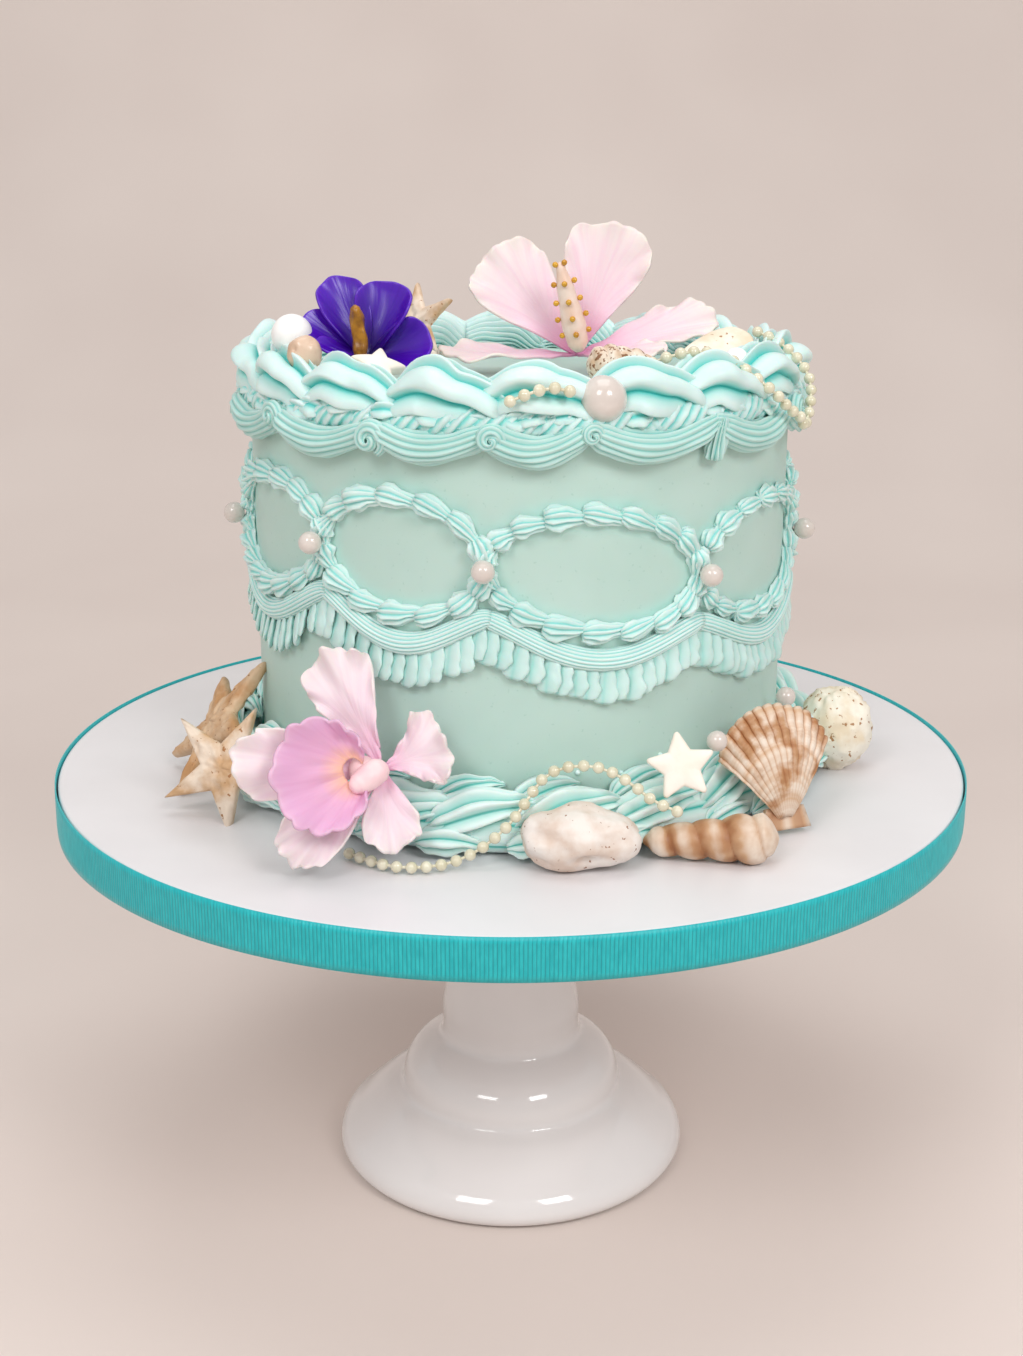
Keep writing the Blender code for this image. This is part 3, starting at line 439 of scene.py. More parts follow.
def piped(bm, path, girth, teeth, groove, around, along, lips=0.0, twist=0.0, flat=1.0, roll=0.0, crest=0.0,
          heavy=0.0, out_at=outward, wobble=0.0, seed=0.0, ring=False):
    """Adds a stroke along path(share), with the half width girth(share) in millimetres.

    It has so many teeth, and faces around and along; its ends are drawn to points, unless it is a ring.
    """
    fold = bm.verts.layers.float.get("fold") or bm.verts.layers.float.new("fold")
    made = bmesh.ops.create_grid(bm, x_segments=around, y_segments=along, size=0.5)
    shares = [min(max((row - 1) / (along - 2), 0.0), 1.0) for row in range(along + 1)]
    if ring:
        shares = [row / along for row in range(along + 1)]
    stations = frames_along(path, out_at, roll, shares)
    girths = [girth(share) * MM for share in shares]
    if not ring:
        girths[0] = girths[-1] = 0.0
    for vertex in made["verts"]:
        turn = 2 * math.pi * (vertex.co.x + 0.5)
        row = round((vertex.co.y + 0.5) * along)
        share = shares[row]
        centre, side, out = stations[row]
        phase = teeth * (turn - TOP_SIDE - heavy * math.sin(turn - TOP_SIDE)) / 2
        ridge = mixed(abs(math.cos(phase)), 1 - abs(math.sin(phase)), crest)
        bend = turn + lips * ridge * ridge + twist * share
        reach = girths[row] * (1 - groove * (1 - ridge))
        if wobble:
            spot = Vector((math.cos(turn) * 1.3 + seed, math.sin(turn) * 1.3, share * 4))
            reach *= 1 + wobble * noise.noise(spot)
        vertex.co = centre + (side * math.cos(bend) + out * math.sin(bend) * flat) * reach
        # fold drives the buttercream's painted shade in the grooves and painted highlight on the ridges.
        vertex[fold] = ridge


# %% [markdown]
# The ovals are chains of small shells: the tip is held still for a wide head, then drawn away to
# the right into a thin tail, and the next head covers that tail. Both halves of an oval run from
# its left pearl to its right one. The teeth of the tip leave sharp ridges.

# %% Oval shells
shake = random.Random(3)
SHELL_GIRTH = ((0.0, 3.0), (0.08, 4.4), (0.3, 4.8), (0.65, 3.0), (1.0, 1.2))
SHELL_DEGREES = 4.7
SHELL_OVERLAP = 1.35


def oval_shells(bm, bay):
    (start, _), (end, _) = bay
    count = max(6, round((end - start) / SHELL_DEGREES))
    for half in (1, -1):
        for index in range(count):
            size = shake.uniform(0.84, 1.14)
            lift = shake.uniform(-0.3, 0.6)
            begin = math.pi * (1 - (index + shake.uniform(-0.05, 0.05)) / count)
            run = math.pi * SHELL_OVERLAP / count

            def path(share):
                aside = (0.9 - 2.2 * share) * MM * UP
                spot = oval_point(bay, half * (begin - run * share), WALL + 1.8 + lift - 1.4 * share)
                return spot + aside * half

            piped(bm, path, swelling(SHELL_GIRTH, size), 9, 0.42, 54, 9, lips=0.1, crest=0.8, flat=0.95,
                  twist=shake.uniform(-0.6, 0.6), wobble=0.34, seed=index + start)


bm = bmesh.new()
for bay in BAYS:
    oval_shells(bm, bay)
piece("oval_shells", bm, wall_cream, ["oval_frames"])

# %% [markdown]
# Below each oval hangs a swag piped with a flat toothed tip, so it has many fine even ridges. It is
# one stroke from pearl to pearl, a little longer than its bay, so that neighbours meet.

# %% Swags
SWAG_GIRTH = ((0.0, 2.4), (0.06, 3.7), (0.5, 4.1), (0.93, 3.8), (1.0, 3.0))
SWAG_DROP = 17.5
SWAG_SAG = 12.5


def swag_height(bay, share):
    (_, start_z), (_, end_z) = bay
    sag = SWAG_SAG * math.sin(math.pi * min(max(share, 0.0), 1.0)) ** 1.25
    return mixed(start_z, end_z, share) - SWAG_DROP - sag


def swag(bm, bay):
    (start, _), (end, _) = bay
    spare = 1.0 / (end - start)

    def path(share):
        across = mixed(-spare, 1 + spare, share)
        return round_cake(mixed(start, end, across), WALL + 0.5 + 0.7 * share, swag_height(bay, across))

    piped(bm, path, swelling(SWAG_GIRTH), 16, 0.13, 96, 44, flat=0.9, crest=0.5, wobble=0.1, seed=start)


bm = bmesh.new()
for bay in BAYS:
    swag(bm, bay)
piece("swag_ribbons", bm, wall_cream, ["swag_bands"])

# %% [markdown]
# Under the swag comes a row of small glossy petals. Each is a short flat pull downwards that ends in
# a round lip, and it is rolled a little, so that it laps over its neighbour.

# %% Petal rows
ROW_PETAL = ((0.0, 2.8), (0.3, 4.1), (0.72, 4.9), (0.9, 4.2), (1.0, 2.2))
ROW_PETAL_LENGTH = 12.2
PETALS_A_DEGREE = 0.37


def petal_row(bm, bay):
    (start, _), (end, _) = bay
    count = round((end - start) * PETALS_A_DEGREE)
    for index in range(count):
        share = (index + 0.5) / count
        size = shake.uniform(0.88, 1.12)
        tilt = shake.uniform(-1.6, -0.4)
        top = swag_height(bay, share) - 2.6
        degrees = mixed(start, end, share) + shake.uniform(-0.3, 0.3)

        def path(along):
            height = top - ROW_PETAL_LENGTH * size * along
            return round_cake(degrees + tilt * along, WALL + 0.6 + 1.6 * along, height)

        piped(bm, path, swelling(ROW_PETAL, size), 3, 0.06, 24, 14, flat=0.3, wobble=0.25,
              roll=shake.uniform(-0.5, -0.32), seed=index + start)


bm = bmesh.new()
for bay in BAYS:
    petal_row(bm, bay)
piece("petal_rows", bm, petal_cream, ["wall_ruffle"])

# %% [markdown]
# ## The rim
# A rope of scallops runs round the rim. Each scallop hangs between two joints, and a round curl or a
# small tassel covers most of the joints. The joints in front stand where the photograph shows them.

# %% Rope of scallops
SEEN_JOINTS = (-52.0, -27.0, -6.0, 12.7, 39.0, 66.0)
JOINT_STEP = (360 + SEEN_JOINTS[0] - SEEN_JOINTS[-1]) / 10
JOINTS = list(SEEN_JOINTS) + [SEEN_JOINTS[-1] + JOINT_STEP * step for step in range(1, 10)]
ROPE_GIRTH = ((0.0, 3.6), (0.1, 5.6), (0.35, 5.9), (0.8, 4.9), (1.0, 3.2))
ROPE_HEIGHT = 144.6
CURL_GIRTH = ((0.0, 0.5), (0.2, 1.0), (0.9, 0.8), (1.0, 0.3))
TASSEL_GIRTH = ((0.0, 1.6), (0.3, 3.4), (0.85, 5.2), (0.97, 4.8), (1.0, 3.5))


def scallop_stroke(bm, start, end, sag):
    def path(share):
        across = mixed(-0.02, 1.05, share)
        height = ROPE_HEIGHT - sag * math.sin(math.pi * min(max(across, 0.0), 1.0) ** 0.9)
        return round_cake(mixed(start, end, across), WALL + 3.2 - 1.0 * share, height)

    piped(bm, path, swelling(ROPE_GIRTH), 14, 0.17, 98, 40, crest=0.4, twist=shake.uniform(-0.3, 0.8),
          wobble=0.2, seed=start)


def curl(bm, degrees, height, size):
    """A spiral of cream, where a stroke begins with a twist of the tip."""
    turns, strand = 1.3, 0.62
    centre = round_cake(degrees, WALL + 5.2, height)
    out = outward(centre)
    side = UP.cross(out)

    def path(share):
        turn = 2 * math.pi * turns * share - 1.2
        reach = size * MM * (1 - share) ** 0.8
        return centre + side * math.cos(turn) * reach + UP * math.sin(turn) * reach + out * 2.6 * MM * share

    piped(bm, path, swelling(CURL_GIRTH, size * strand), 7, 0.25, 42, 44, crest=0.5,
          out_at=lambda point: out, wobble=0.1, seed=degrees)


def tassel(bm, degrees):
    """A short fan of sharp folds that hangs from a joint."""
    def path(share):
        return round_cake(degrees - 0.8 * share, WALL + 6.5 - 3.5 * share, 146.5 - 14.5 * share)

    piped(bm, path, swelling(TASSEL_GIRTH), 11, 0.5, 88, 18, flat=0.6, crest=0.6, twist=0.5, wobble=0.3)


bm = bmesh.new()
for start, end in zip(JOINTS, JOINTS[1:] + [JOINTS[0] + 360]):
    scallop_stroke(bm, start, end, shake.uniform(5.6, 7.2))
SEEN_CURLS = ((-27.6, 141.2, 5.0), (-5.4, 142.5, 4.2), (12.4, 143.6, 3.4), (-53.0, 144.5, 4.0))
for degrees, height, size in SEEN_CURLS:
    curl(bm, degrees, height, size)
tassel(bm, 39.5)
for joint in JOINTS[5::2]:
    curl(bm, joint, 143.5, shake.uniform(3.6, 4.6))
for joint in JOINTS[6::3]:
    tassel(bm, joint)
piece("rim_rope", bm, rope_cream, ["top_border"])

# %% [markdown]
# Inside the rope stand eighteen big puffs. The head of each is held until it swells, then the
# stroke is drawn off to the right and down. The wide tip leaves broad folds on the upper side, with
# thin lips that hang over deep hollows, and finer ones below. The wrist turns, so they run slanting.

# %% Puffs
PUFF_GIRTH = ((0.0, 4.4), (0.10, 9.6), (0.34, 12.2), (0.7, 8.6), (1.0, 2.2))
PUFF_HEIGHT = ((0.0, 150.5), (0.3, 155.8), (0.55, 154.6), (1.0, 147.5))
PUFF_COUNT = 18
FIRST_PUFF = -47.0
PUFF_RUN = 28


def puff(bm, index):
    head = FIRST_PUFF + 360 / PUFF_COUNT * index + shake.uniform(-1.2, 1.2)
    size = shake.uniform(0.94, 1.04)

    def path(share):
        return round_cake(head + PUFF_RUN * share, WALL - 6.5 + 4 * share, eased(PUFF_HEIGHT, share))

    piped(bm, path, swelling(PUFF_GIRTH, size), shake.choice((17, 18, 19)), shake.uniform(0.4, 0.5), 132, 40,
          lips=-0.24, twist=shake.uniform(-1.5, -0.4), heavy=0.76, wobble=0.22, seed=index * 2.3)


bm = bmesh.new()
for index in range(PUFF_COUNT):
    puff(bm, index)
piece("rim_puffs", bm, rim_cream, ["top_border"])

# %% [markdown]
# Small crumpled pulls of cream fill the hollow between the puffs and the rope. A twisted ring lies
# under them, so that no gap shows where two pulls part.

# %% Crumpled filling
PULL_GIRTH = ((0.0, 0.35), (0.2, 0.9), (0.45, 1.0), (0.8, 0.55), (1.0, 0.1))
PULL_COUNT = 72


def short_pull(bm, degrees, run, radius, low, rise, size, twist):
    """A short stroke that starts at an angle and a height and runs to the right."""
    def path(share):
        return round_cake(degrees + run * share, radius - 1.5 * share, low + rise * share)

    piped(bm, path, swelling(PULL_GIRTH, size), 5, 0.5, 40, 14, lips=-0.3, twist=twist, flat=0.85, crest=0.3,
          wobble=0.3, seed=degrees)


bm = bmesh.new()
for index in range(PULL_COUNT):
    short_pull(bm, 360 / PULL_COUNT * index + shake.uniform(-2, 2), shake.uniform(6, 10),
               WALL + shake.uniform(0.5, 2.5), shake.uniform(146.5, 150.0), shake.uniform(-3.5, 1.0),
               shake.uniform(4.2, 5.6), shake.uniform(-1.2, 1.2))
piped(bm, lambda share: round_cake(360 * share, WALL - 1.2, 146.8), lambda share: 5.8, 7, 0.14, 42, 240,
      lips=-0.2, twist=44 * math.pi, wobble=0.25, ring=True)
piece("rim_filling", bm, rim_cream, ["top_border"])

# %% [markdown]
# ## The foot of the cake
# The base border is looser: leaf-like pulls heaped over each other down to the board, with the tails
# turned up against the wall, and a bed of cream behind them.

# %% Base border
LEAF_GIRTH = ((0.0, 0.3), (0.14, 0.85), (0.4, 1.0), (0.75, 0.62), (1.0, 0.12))


def leaf_stroke(bm, head, run, low, high, size, out, teeth, groove, crest):
    """A bowed pull that runs to the right, from one height to another and in towards the wall."""
    bow = shake.uniform(-1.5, 1.5)

    def path(share):
        height = mixed(low, high, share) + 2.5 * math.sin(math.pi * share)
        radius = WALL + out - 4.0 * share + bow * math.sin(math.pi * share)
        return round_cake(head + run * share, radius, height)

    piped(bm, path, swelling(LEAF_GIRTH, size), teeth, groove, teeth * 9, 22, lips=shake.uniform(-0.35, 0.35),
          crest=crest, twist=shake.uniform(-1.2, 1.2), flat=0.85, wobble=0.2, seed=head)


bm = bmesh.new()
BIG_LEAVES, LOW_LEAVES, HIGH_LEAVES = 22, 24, 20
for index in range(BIG_LEAVES):
    head = 360 / BIG_LEAVES * index + shake.uniform(-2, 2)
    leaf_stroke(bm, head, 21, 9.5, 16.5, shake.uniform(9.4, 11.0), 12.2, 9, 0.48, 0.3)
for index in range(LOW_LEAVES):
    head = 360 / LOW_LEAVES * index + shake.uniform(-3, 3)
    leaf_stroke(bm, head, shake.uniform(11, 15), 5.6, shake.uniform(4.0, 7.0), shake.uniform(5.0, 6.0), 17.5,
                6, 0.5, 0.2)
for index in range(HIGH_LEAVES):
    head = 360 / HIGH_LEAVES * index + shake.uniform(-3, 3)
    leaf_stroke(bm, head, shake.uniform(12, 17), 17, 22.5, shake.uniform(4.4, 5.8), 5.5, 8, 0.34, 0.6)
piece("base_leaves", bm, base_cream, ["base_border"])

# %% [markdown]
# The bed is one smooth ring behind the leaves. A few crumbs of cream stick to the wall above it,
# as they do on a real cake where a pull was lifted off.

# %% Bed and crumbs
CRUMBS = 22
bm = bmesh.new()
piped(bm, lambda share: round_cake(360 * share, WALL + 7.5, 8.6), lambda share: 8.2, 6, 0.1, 36, 240,
      wobble=0.1, ring=True)
for index in range(CRUMBS):
    angle, height = shake.uniform(-75, 75), shake.uniform(22, 29)
    made = bmesh.ops.create_icosphere(bm, subdivisions=2, radius=shake.uniform(0.5, 1.0) * MM)
    bmesh.ops.translate(bm, verts=made["verts"], vec=round_cake(angle, WALL + 0.4, height))
    for vertex in made["verts"]:
        # The crumbs carry fold 1, so they take the painted ridge highlight all over.
        vertex[bm.verts.layers.float["fold"]] = 1.0
piece("base_bed", bm, base_cream, ["base_border"])

# %% [markdown]
# ## Pearls and strings of beads
# A sugar pearl is a ball with a soft lustre: a coat over a slightly rough skin. The strings are
# moulded in one go, so small necks join the beads.

# %% Pearls
pearl = two_tone("pearl_lustre", 0.24, 150, (212, 199, 190), (222, 211, 203), (300, 2.0, 0.06, 0.0003),
                 Coat_Weight=0.8, Coat_Roughness=0.08, Sheen_Weight=0.15)
bead_finish = two_tone("bead_lustre", 0.2, 200, (214, 206, 176), (230, 224, 200), Coat_Weight=0.9,
                       Coat_Roughness=0.05)
matt_ball = two_tone("matt_sugar_ball", 0.5, 120, (248, 245, 242), (254, 253, 252), (500, 2.0, 0.1, 0.0003))

PEARL_RADIUS = 4.0
PEARL_OUT = 7.9


def ball(name, centre, radius, material, node):
    """A ball rolled by hand, so a hundredth out of round."""
    bm = bmesh.new()
    bmesh.ops.create_uvsphere(bm, u_segments=40, v_segments=24, radius=radius * MM)
    for vertex in bm.verts:
        vertex.co *= 1 + 0.012 * noise.noise(vertex.co * 180 + centre * 90)
    bmesh.ops.translate(bm, verts=bm.verts, vec=centre)
    piece(name, bm, material, [node])


for index, (degrees, height) in enumerate(PEARLS, 1):
    ball(f"wall_pearl_{index}", round_cake(degrees, WALL + PEARL_OUT, height), PEARL_RADIUS, pearl,
         f"side_pearl_{index}")
ball("great_pearl", at(30.3, -99, 154.8), 7.7, pearl, "big_pearl")
ball("sugar_ball", at(-77.2, -42, 169.3), 7.4, matt_ball, "ball_pearl")
ball("loose_rim_pearl", at(79, -50, 161.5), 4.4, matt_ball, "rim_pearl")
ball("loose_front_pearl", at(70.6, -103, 38.6), 3.6, pearl, "base_pearl_front")
ball("loose_right_pearl", at(101.5, -52, 38.5), 3.6, pearl, "base_pearl_right")

# %% [markdown]
# A string of beads needs an even pitch along a hand-laid line. The line is smoothed through a few
# points, and walked with a pair of dividers, so to speak: a bead goes down at every full pitch.

# %% Strings of beads
STRINGS = {
    "bead_string_front": (
        (-0.2, -109, 155.4), (6.4, -108.6, 158.1), (11, -108.4, 159.2), (15, -108, 159.5),
        (18.5, -107.2, 158.6), (22.5, -106.6, 156.6)),
    "bead_string_right": (
        (48, -70, 163), (56, -72, 166), (63, -69, 166.5), (70, -67, 165.5), (77, -66, 162.5),
        (84, -66, 157.5), (91, -65, 152), (97, -60, 146), (102, -55, 142), (104, -50, 138.5),
        (106, -45, 141), (107.5, -40, 146), (108, -34, 152), (106, -29, 157), (102, -24, 161.5),
        (97, -18, 165), (91, -13, 167.5)),
    "bead_string_base": (
        (-55, -116, 2.6), (-48, -122, 2.6), (-39, -127.5, 2.6), (-29, -128, 2.6), (-20, -125.5, 3.2),
        (-12, -124.5, 6.5), (-5, -123.5, 11.5), (1, -121, 17), (6, -117, 23), (10.5, -114, 28.5),
        (16, -113, 31.8), (24, -113, 33.2), (32, -113.5, 32), (40, -115, 28), (48, -117, 22.2),
        (57.5, -119, 18.4)),
}
BEAD_PITCH = 4.9 * MM
BEAD_RADIUS = 2.05 * MM
NECK_RADIUS = 0.55 * MM


def evenly(points, pitch):
    """Points one pitch apart along a smooth line."""
    line = smooth_line(points, 24)
    kept = [line[0]]
    for point in line:
        if (point - kept[-1]).length >= pitch:
            kept.append(point)
    return kept


def bead_string(name, route):
    bm = bmesh.new()
    beads = evenly([at(*point) for point in route], BEAD_PITCH)
    for index, centre in enumerate(beads):
        made = bmesh.ops.create_uvsphere(bm, u_segments=18, v_segments=12, radius=BEAD_RADIUS)
        bmesh.ops.translate(bm, verts=made["verts"], vec=centre)
        if index:
            middle = (centre + beads[index - 1]) / 2
            lean = (centre - beads[index - 1]).to_track_quat("Z", "Y").to_matrix().to_4x4()
            neck = bmesh.ops.create_cone(bm, cap_ends=True, segments=8, radius1=NECK_RADIUS,
                                         radius2=NECK_RADIUS, depth=BEAD_PITCH * 0.6)
            bmesh.ops.transform(bm, matrix=lean, verts=neck["verts"])
            bmesh.ops.translate(bm, verts=neck["verts"], vec=middle)
    piece(f"{name}_beads", bm, bead_finish, [name])


for name, route in STRINGS.items():
    bead_string(name, route)

# %% [markdown]
# ## Sugar flowers
# A sugar petal is rolled thin, veined and frilled at its rim with a ball tool. Here a grid is bent
# into that shape, and it carries three numbers that the finish uses: across for the veins, along for
# the blush towards the throat, and rim for the paler edge. A Solidify modifier gives the thickness
# of rolled paste. One could be sculpted by hand, but fifteen petals are better made by one function.

# %% One petal
def rim_frill(place, frills, seed):
    """A wavy number from -1 to 1 along the rim, uneven as fingers make it."""
    wander = noise.noise(Vector((place * 2.2, seed, 0.3)))
    swing = 0.75 + 0.6 * noise.noise(Vector((place * 3.1, 7.7, seed)))
    return swing * math.sin(math.pi * frills * place + 2.6 * wander + seed)


CARRIED = ("across", "along", "rim")


def petal(bm, base, direction, facing, length, width, cup=0.0, curl=0.0, wave=0.0, frill=0.0, frills=7,
          narrow=0.16, fan=1.2, ragged=0.06, seed=0.0, detail=46):
    """A round grid drawn in at its foot; its rim is frilled and its veins fan out from the foot."""
    numbers = bm.verts.layers.float
    layers = [numbers.get(name) or numbers.new(name) for name in CARRIED]
    ahead = Vector(direction).normalized()
    side = ahead.cross(Vector(facing)).normalized()
    face = side.cross(ahead)
    made = bmesh.ops.create_grid(bm, x_segments=detail, y_segments=detail, size=1)
    for vertex in made["verts"]:
        u, v = vertex.co.x, vertex.co.y
        x, y = u * math.sqrt(1 - v * v / 2), v * math.sqrt(1 - u * u / 2)
        place = math.atan2(x, y) / math.pi
        share = 0.5 + 0.5 * y
        rim = (x * x + y * y) ** 3 * min(1.0, 1.6 * share)
        ripple = rim_frill(place, frills, seed)
        half = mixed(narrow, 1.0, min(1.0, 1.15 * share) ** fan)
        depth = cup * (x * x - 0.3) * half + curl * share * share
        sway = math.sin(5 * y + 2.5 * x + seed) * abs(x) + 0.5 * math.sin(5 * x + seed) * share
        depth += wave * share * sway
        depth += frill * rim * ripple
        worn = ragged * noise.noise(Vector((2.6 * x, 2.6 * y, seed)))
        uneven = 1 + rim * (worn + 0.012 * frill * abs(ripple))
        flat_place = side * (x * half * width / 2) + ahead * (share * length)
        vertex.co = base + (flat_place * uneven + face * depth) * MM
        for layer, value in zip(layers, (0.5 + math.atan2(x, y + 1.06) / math.pi, share, rim * rim)):
            vertex[layer] = value


def sheeted(obj, thickness):
    """Gives a sheet its thickness in millimetres, half to each side."""
    wall = obj.modifiers.new("paste", "SOLIDIFY")
    wall.thickness = thickness * MM
    wall.offset = 0


def veined(name, throat, blush, middle, rim, vein, roughness=0.45):
    """A petal finish: from the throat at its foot through a blush to the middle, paler at the rim."""
    throat, blush, middle, rim, vein = (paint(*colour) for colour in (throat, blush, middle, rim, vein))
    material, tree, shader = new_finish(name, roughness, Subsurface_Weight=0.12, Subsurface_Scale=0.002)
    along = carried(tree, "along")
    base = ramp(tree, along, [(0.05, throat), (0.4, blush), (0.9, middle)])
    edged = blend(tree, carried(tree, "rim"), base, rim)
    streaks = add(tree, "CombineXYZ", {"X": carried(tree, "across"), "Y": along}).outputs[0]
    drawn = add(tree, "Mapping", {"Vector": streaks, "Scale": (34, 1.2, 1)}).outputs["Vector"]
    lines = add(tree, "TexNoise", {"Vector": drawn, "Scale": 1.0, "Detail": 2.0}).outputs["Fac"]
    faded = ramp(tree, lines, [(0.46, (0, 0, 0)), (0.66, (0.3, 0.3, 0.3))])
    coloured(tree, shader, blend(tree, faded, edged, vein))
    bumped(tree, shader, lines, 0.3, 0.0006)
    return material


# %% [markdown]
# The hibiscus lies near the middle of the top. Two petals stand up, the others lie out to the sides,
# and a tapering pistil with golden dots stands in front.

# %% Hibiscus
hibiscus_pink = veined("hibiscus_paste", (214, 140, 182), (236, 202, 216), (238, 219, 219), (240, 229, 220),
                       (232, 180, 204))
heart = at(25, 5, 157)
bm = bmesh.new()
petal(bm, heart, (-30, 11, 33), (0.1, -0.9, 0.4), 51, 45, cup=4, curl=2, wave=2, frill=0.9, frills=13,
      fan=1.5)
petal(bm, heart, (14, 13, 43), (0, -0.95, 0.3), 52, 46, cup=4, curl=2, wave=2, frill=0.9, frills=12,
      fan=1.5, seed=2)
petal(bm, heart, (50, 4, 15), (-0.1, -0.6, 0.8), 55, 31, cup=3, curl=-2, wave=2, frill=2.2, frills=11,
      fan=1.5, seed=4)
petal(bm, heart, (31, -24, 5), (0, -0.2, 1), 38, 28, cup=2, curl=-1, wave=1.5, frill=1.3, frills=10, seed=1)
petal(bm, heart, (-53, -7, 1), (0, -0.1, 1), 52, 31, cup=2, curl=1, wave=1.5, frill=1.0, frills=11, seed=3)
sheeted(piece("hibiscus_flower", bm, hibiscus_pink, ["hibiscus_petals"]), 1.0)

# %% [markdown]
# The pistil is the same stroke as the piping, with a shallow groove and pointed ends. The dots sit
# round it in rings of four, each sunk a little into its skin, and two more stand at the tip.

# %% Pistil and dots
pistil_paste = two_tone("pistil_paste", 0.4, 120, (241, 206, 186), (250, 228, 216))
gold_dots = two_tone("gold_dots", 0.25, 260, (196, 132, 14), (226, 168, 40), Coat_Weight=0.4)
PISTIL_GIRTH = ((0.0, 1.6), (0.08, 4.0), (0.3, 4.7), (0.7, 3.4), (0.95, 1.8), (1.0, 0.4))
DOT_REACH = ((0.0, 1.6), (0.3, 4.7), (0.7, 3.4), (1.0, 1.0))
DOT_RADIUS = 1.15 * MM
FRONT = Vector((0, -1, 0))

pistil_foot = heart + Vector((1, -6, 2)) * MM
pistil_tip = at(18, -5, 192)


def pistil_path(share):
    return pistil_foot.lerp(pistil_tip, share)


bm = bmesh.new()
piped(bm, pistil_path, swelling(PISTIL_GIRTH), 5, 0.05, 30, 24, out_at=lambda point: FRONT)
piece("pistil", bm, pistil_paste, ["hibiscus_pistil"])

bm = bmesh.new()
ahead = (pistil_tip - pistil_foot).normalized()
front = (FRONT - ahead * FRONT.dot(ahead)).normalized()
side = ahead.cross(front)
DOTS = [(share, turn) for share in (0.22, 0.40, 0.58, 0.78) for turn in (-80, 0, 80, 170)]
for share, turn in DOTS + [(0.99, -60), (0.99, 60)]:
    way = front * math.cos(math.radians(turn)) - side * math.sin(math.radians(turn))
    reach = eased(DOT_REACH, share) + 1.0
    made = bmesh.ops.create_icosphere(bm, subdivisions=2, radius=DOT_RADIUS)
    bmesh.ops.translate(bm, verts=made["verts"], vec=pistil_path(share) + way * reach * MM)
piece("stamen_dots", bm, gold_dots, ())

# %% [markdown]
# The deep violet flower is smaller and glossier, with cupped petals and a bent golden stamen.

# %% Violet
violet_paste = veined("violet_paste", (30, 0, 92), (58, 0, 148), (78, 10, 176), (96, 34, 192),
                      (50, 0, 140), 0.28)
violet_heart = at(-51, -42, 162)
SMOOTH = {"ragged": 0.02, "narrow": 0.4}
bm = bmesh.new()
petal(bm, violet_heart, (-22, 3, 12), (0.5, -0.8, 0.4), 26, 17, cup=3, curl=3, wave=0.5, **SMOOTH)
petal(bm, violet_heart, (-13, 9, 27), (0.35, -0.9, 0.1), 31, 23, cup=5, curl=1, wave=1.0, seed=1, **SMOOTH)
petal(bm, violet_heart, (10, 6, 22), (-0.5, -1, 0.1), 28, 27, cup=9, curl=3, wave=0.8, seed=2, **SMOOTH)
petal(bm, violet_heart, (21, -6, 3), (-0.1, -0.8, 0.6), 25, 25, cup=9, curl=4, wave=0.6, seed=1, **SMOOTH)
petal(bm, violet_heart, (-16, -8, 3), (0, -0.3, 1), 20, 17, cup=3, curl=2, wave=0.6, seed=3, **SMOOTH)
sheeted(piece("violet_flower", bm, violet_paste, ["violet_petals"]), 0.9)

stamen_paste = two_tone("stamen_paste", 0.3, 240, (120, 70, 10), (178, 120, 20), stops=(0.35, 0.6))
STAMEN_GIRTH = ((0.0, 2.0), (0.2, 3.1), (0.75, 2.7), (0.95, 2.0), (1.0, 0.4))


def stamen_path(share):
    rise = 18.5 * share
    return violet_heart + Vector((-1 - 0.12 * rise, -7.5 + 1.2 * math.sin(math.pi * share), rise)) * MM


bm = bmesh.new()
piped(bm, stamen_path, swelling(STAMEN_GIRTH), 3, 0.2, 24, 20, out_at=lambda point: FRONT, twist=0.8,
      wobble=0.3)
piece("violet_stamen_gold", bm, stamen_paste, ["violet_stamen"])

# %% [markdown]
# The orchid leans on the cake at the lower left. Its petals are long and wavy, and its lip is a
# frilled bowl that opens towards us, darker than the rest. The flower faces its own way, so its
# petals are placed with `towards`: so far to its right, so far up and so far to its front.

# %% Orchid
orchid_pink = veined("orchid_paste", (234, 176, 206), (238, 210, 221), (238, 222, 225), (244, 232, 229),
                     (228, 194, 211))
orchid_heart = at(-43.5, -112, 32)
RIGHT = Vector((0.966, 0.259, 0)).normalized()
FACE = Vector((-0.24, -0.90, 0.36)).normalized()
RISE = FACE.cross(RIGHT).normalized()


def towards(x, y, z=0.0):
    return RIGHT * x + RISE * y + FACE * z


bm = bmesh.new()
petal(bm, orchid_heart, towards(-15.5, 38, -2), FACE, 44, 31, cup=2, curl=-3, wave=4, frill=3.4, frills=9,
      narrow=0.1, seed=1, detail=60)
petal(bm, orchid_heart, towards(-50, 6, 0), FACE, 50, 32, cup=-2, curl=2, wave=2.5, frill=2.2, frills=8,
      seed=3)
petal(bm, orchid_heart, towards(-33, -27, 1), FACE, 44, 28, cup=2, curl=3, wave=3, frill=3.0, frills=8)
petal(bm, orchid_heart, towards(3, -25, 6), FACE + RIGHT * 0.4, 29, 26, cup=4, curl=3, wave=2, frill=2.0,
      frills=7, seed=5)
petal(bm, orchid_heart, towards(19, 4, 7), FACE - RIGHT * 0.8, 24, 37, cup=7, curl=5, wave=3, frill=3.2,
      frills=10, narrow=0.1, seed=2, fan=1.6, detail=60)
sheeted(piece("orchid_flower", bm, orchid_pink, ["orchid_petals"]), 1.0)

# %% [markdown]
# The lip is a grid swept most of the way round the throat. Keels run out from the throat, and the rim
# is frilled.

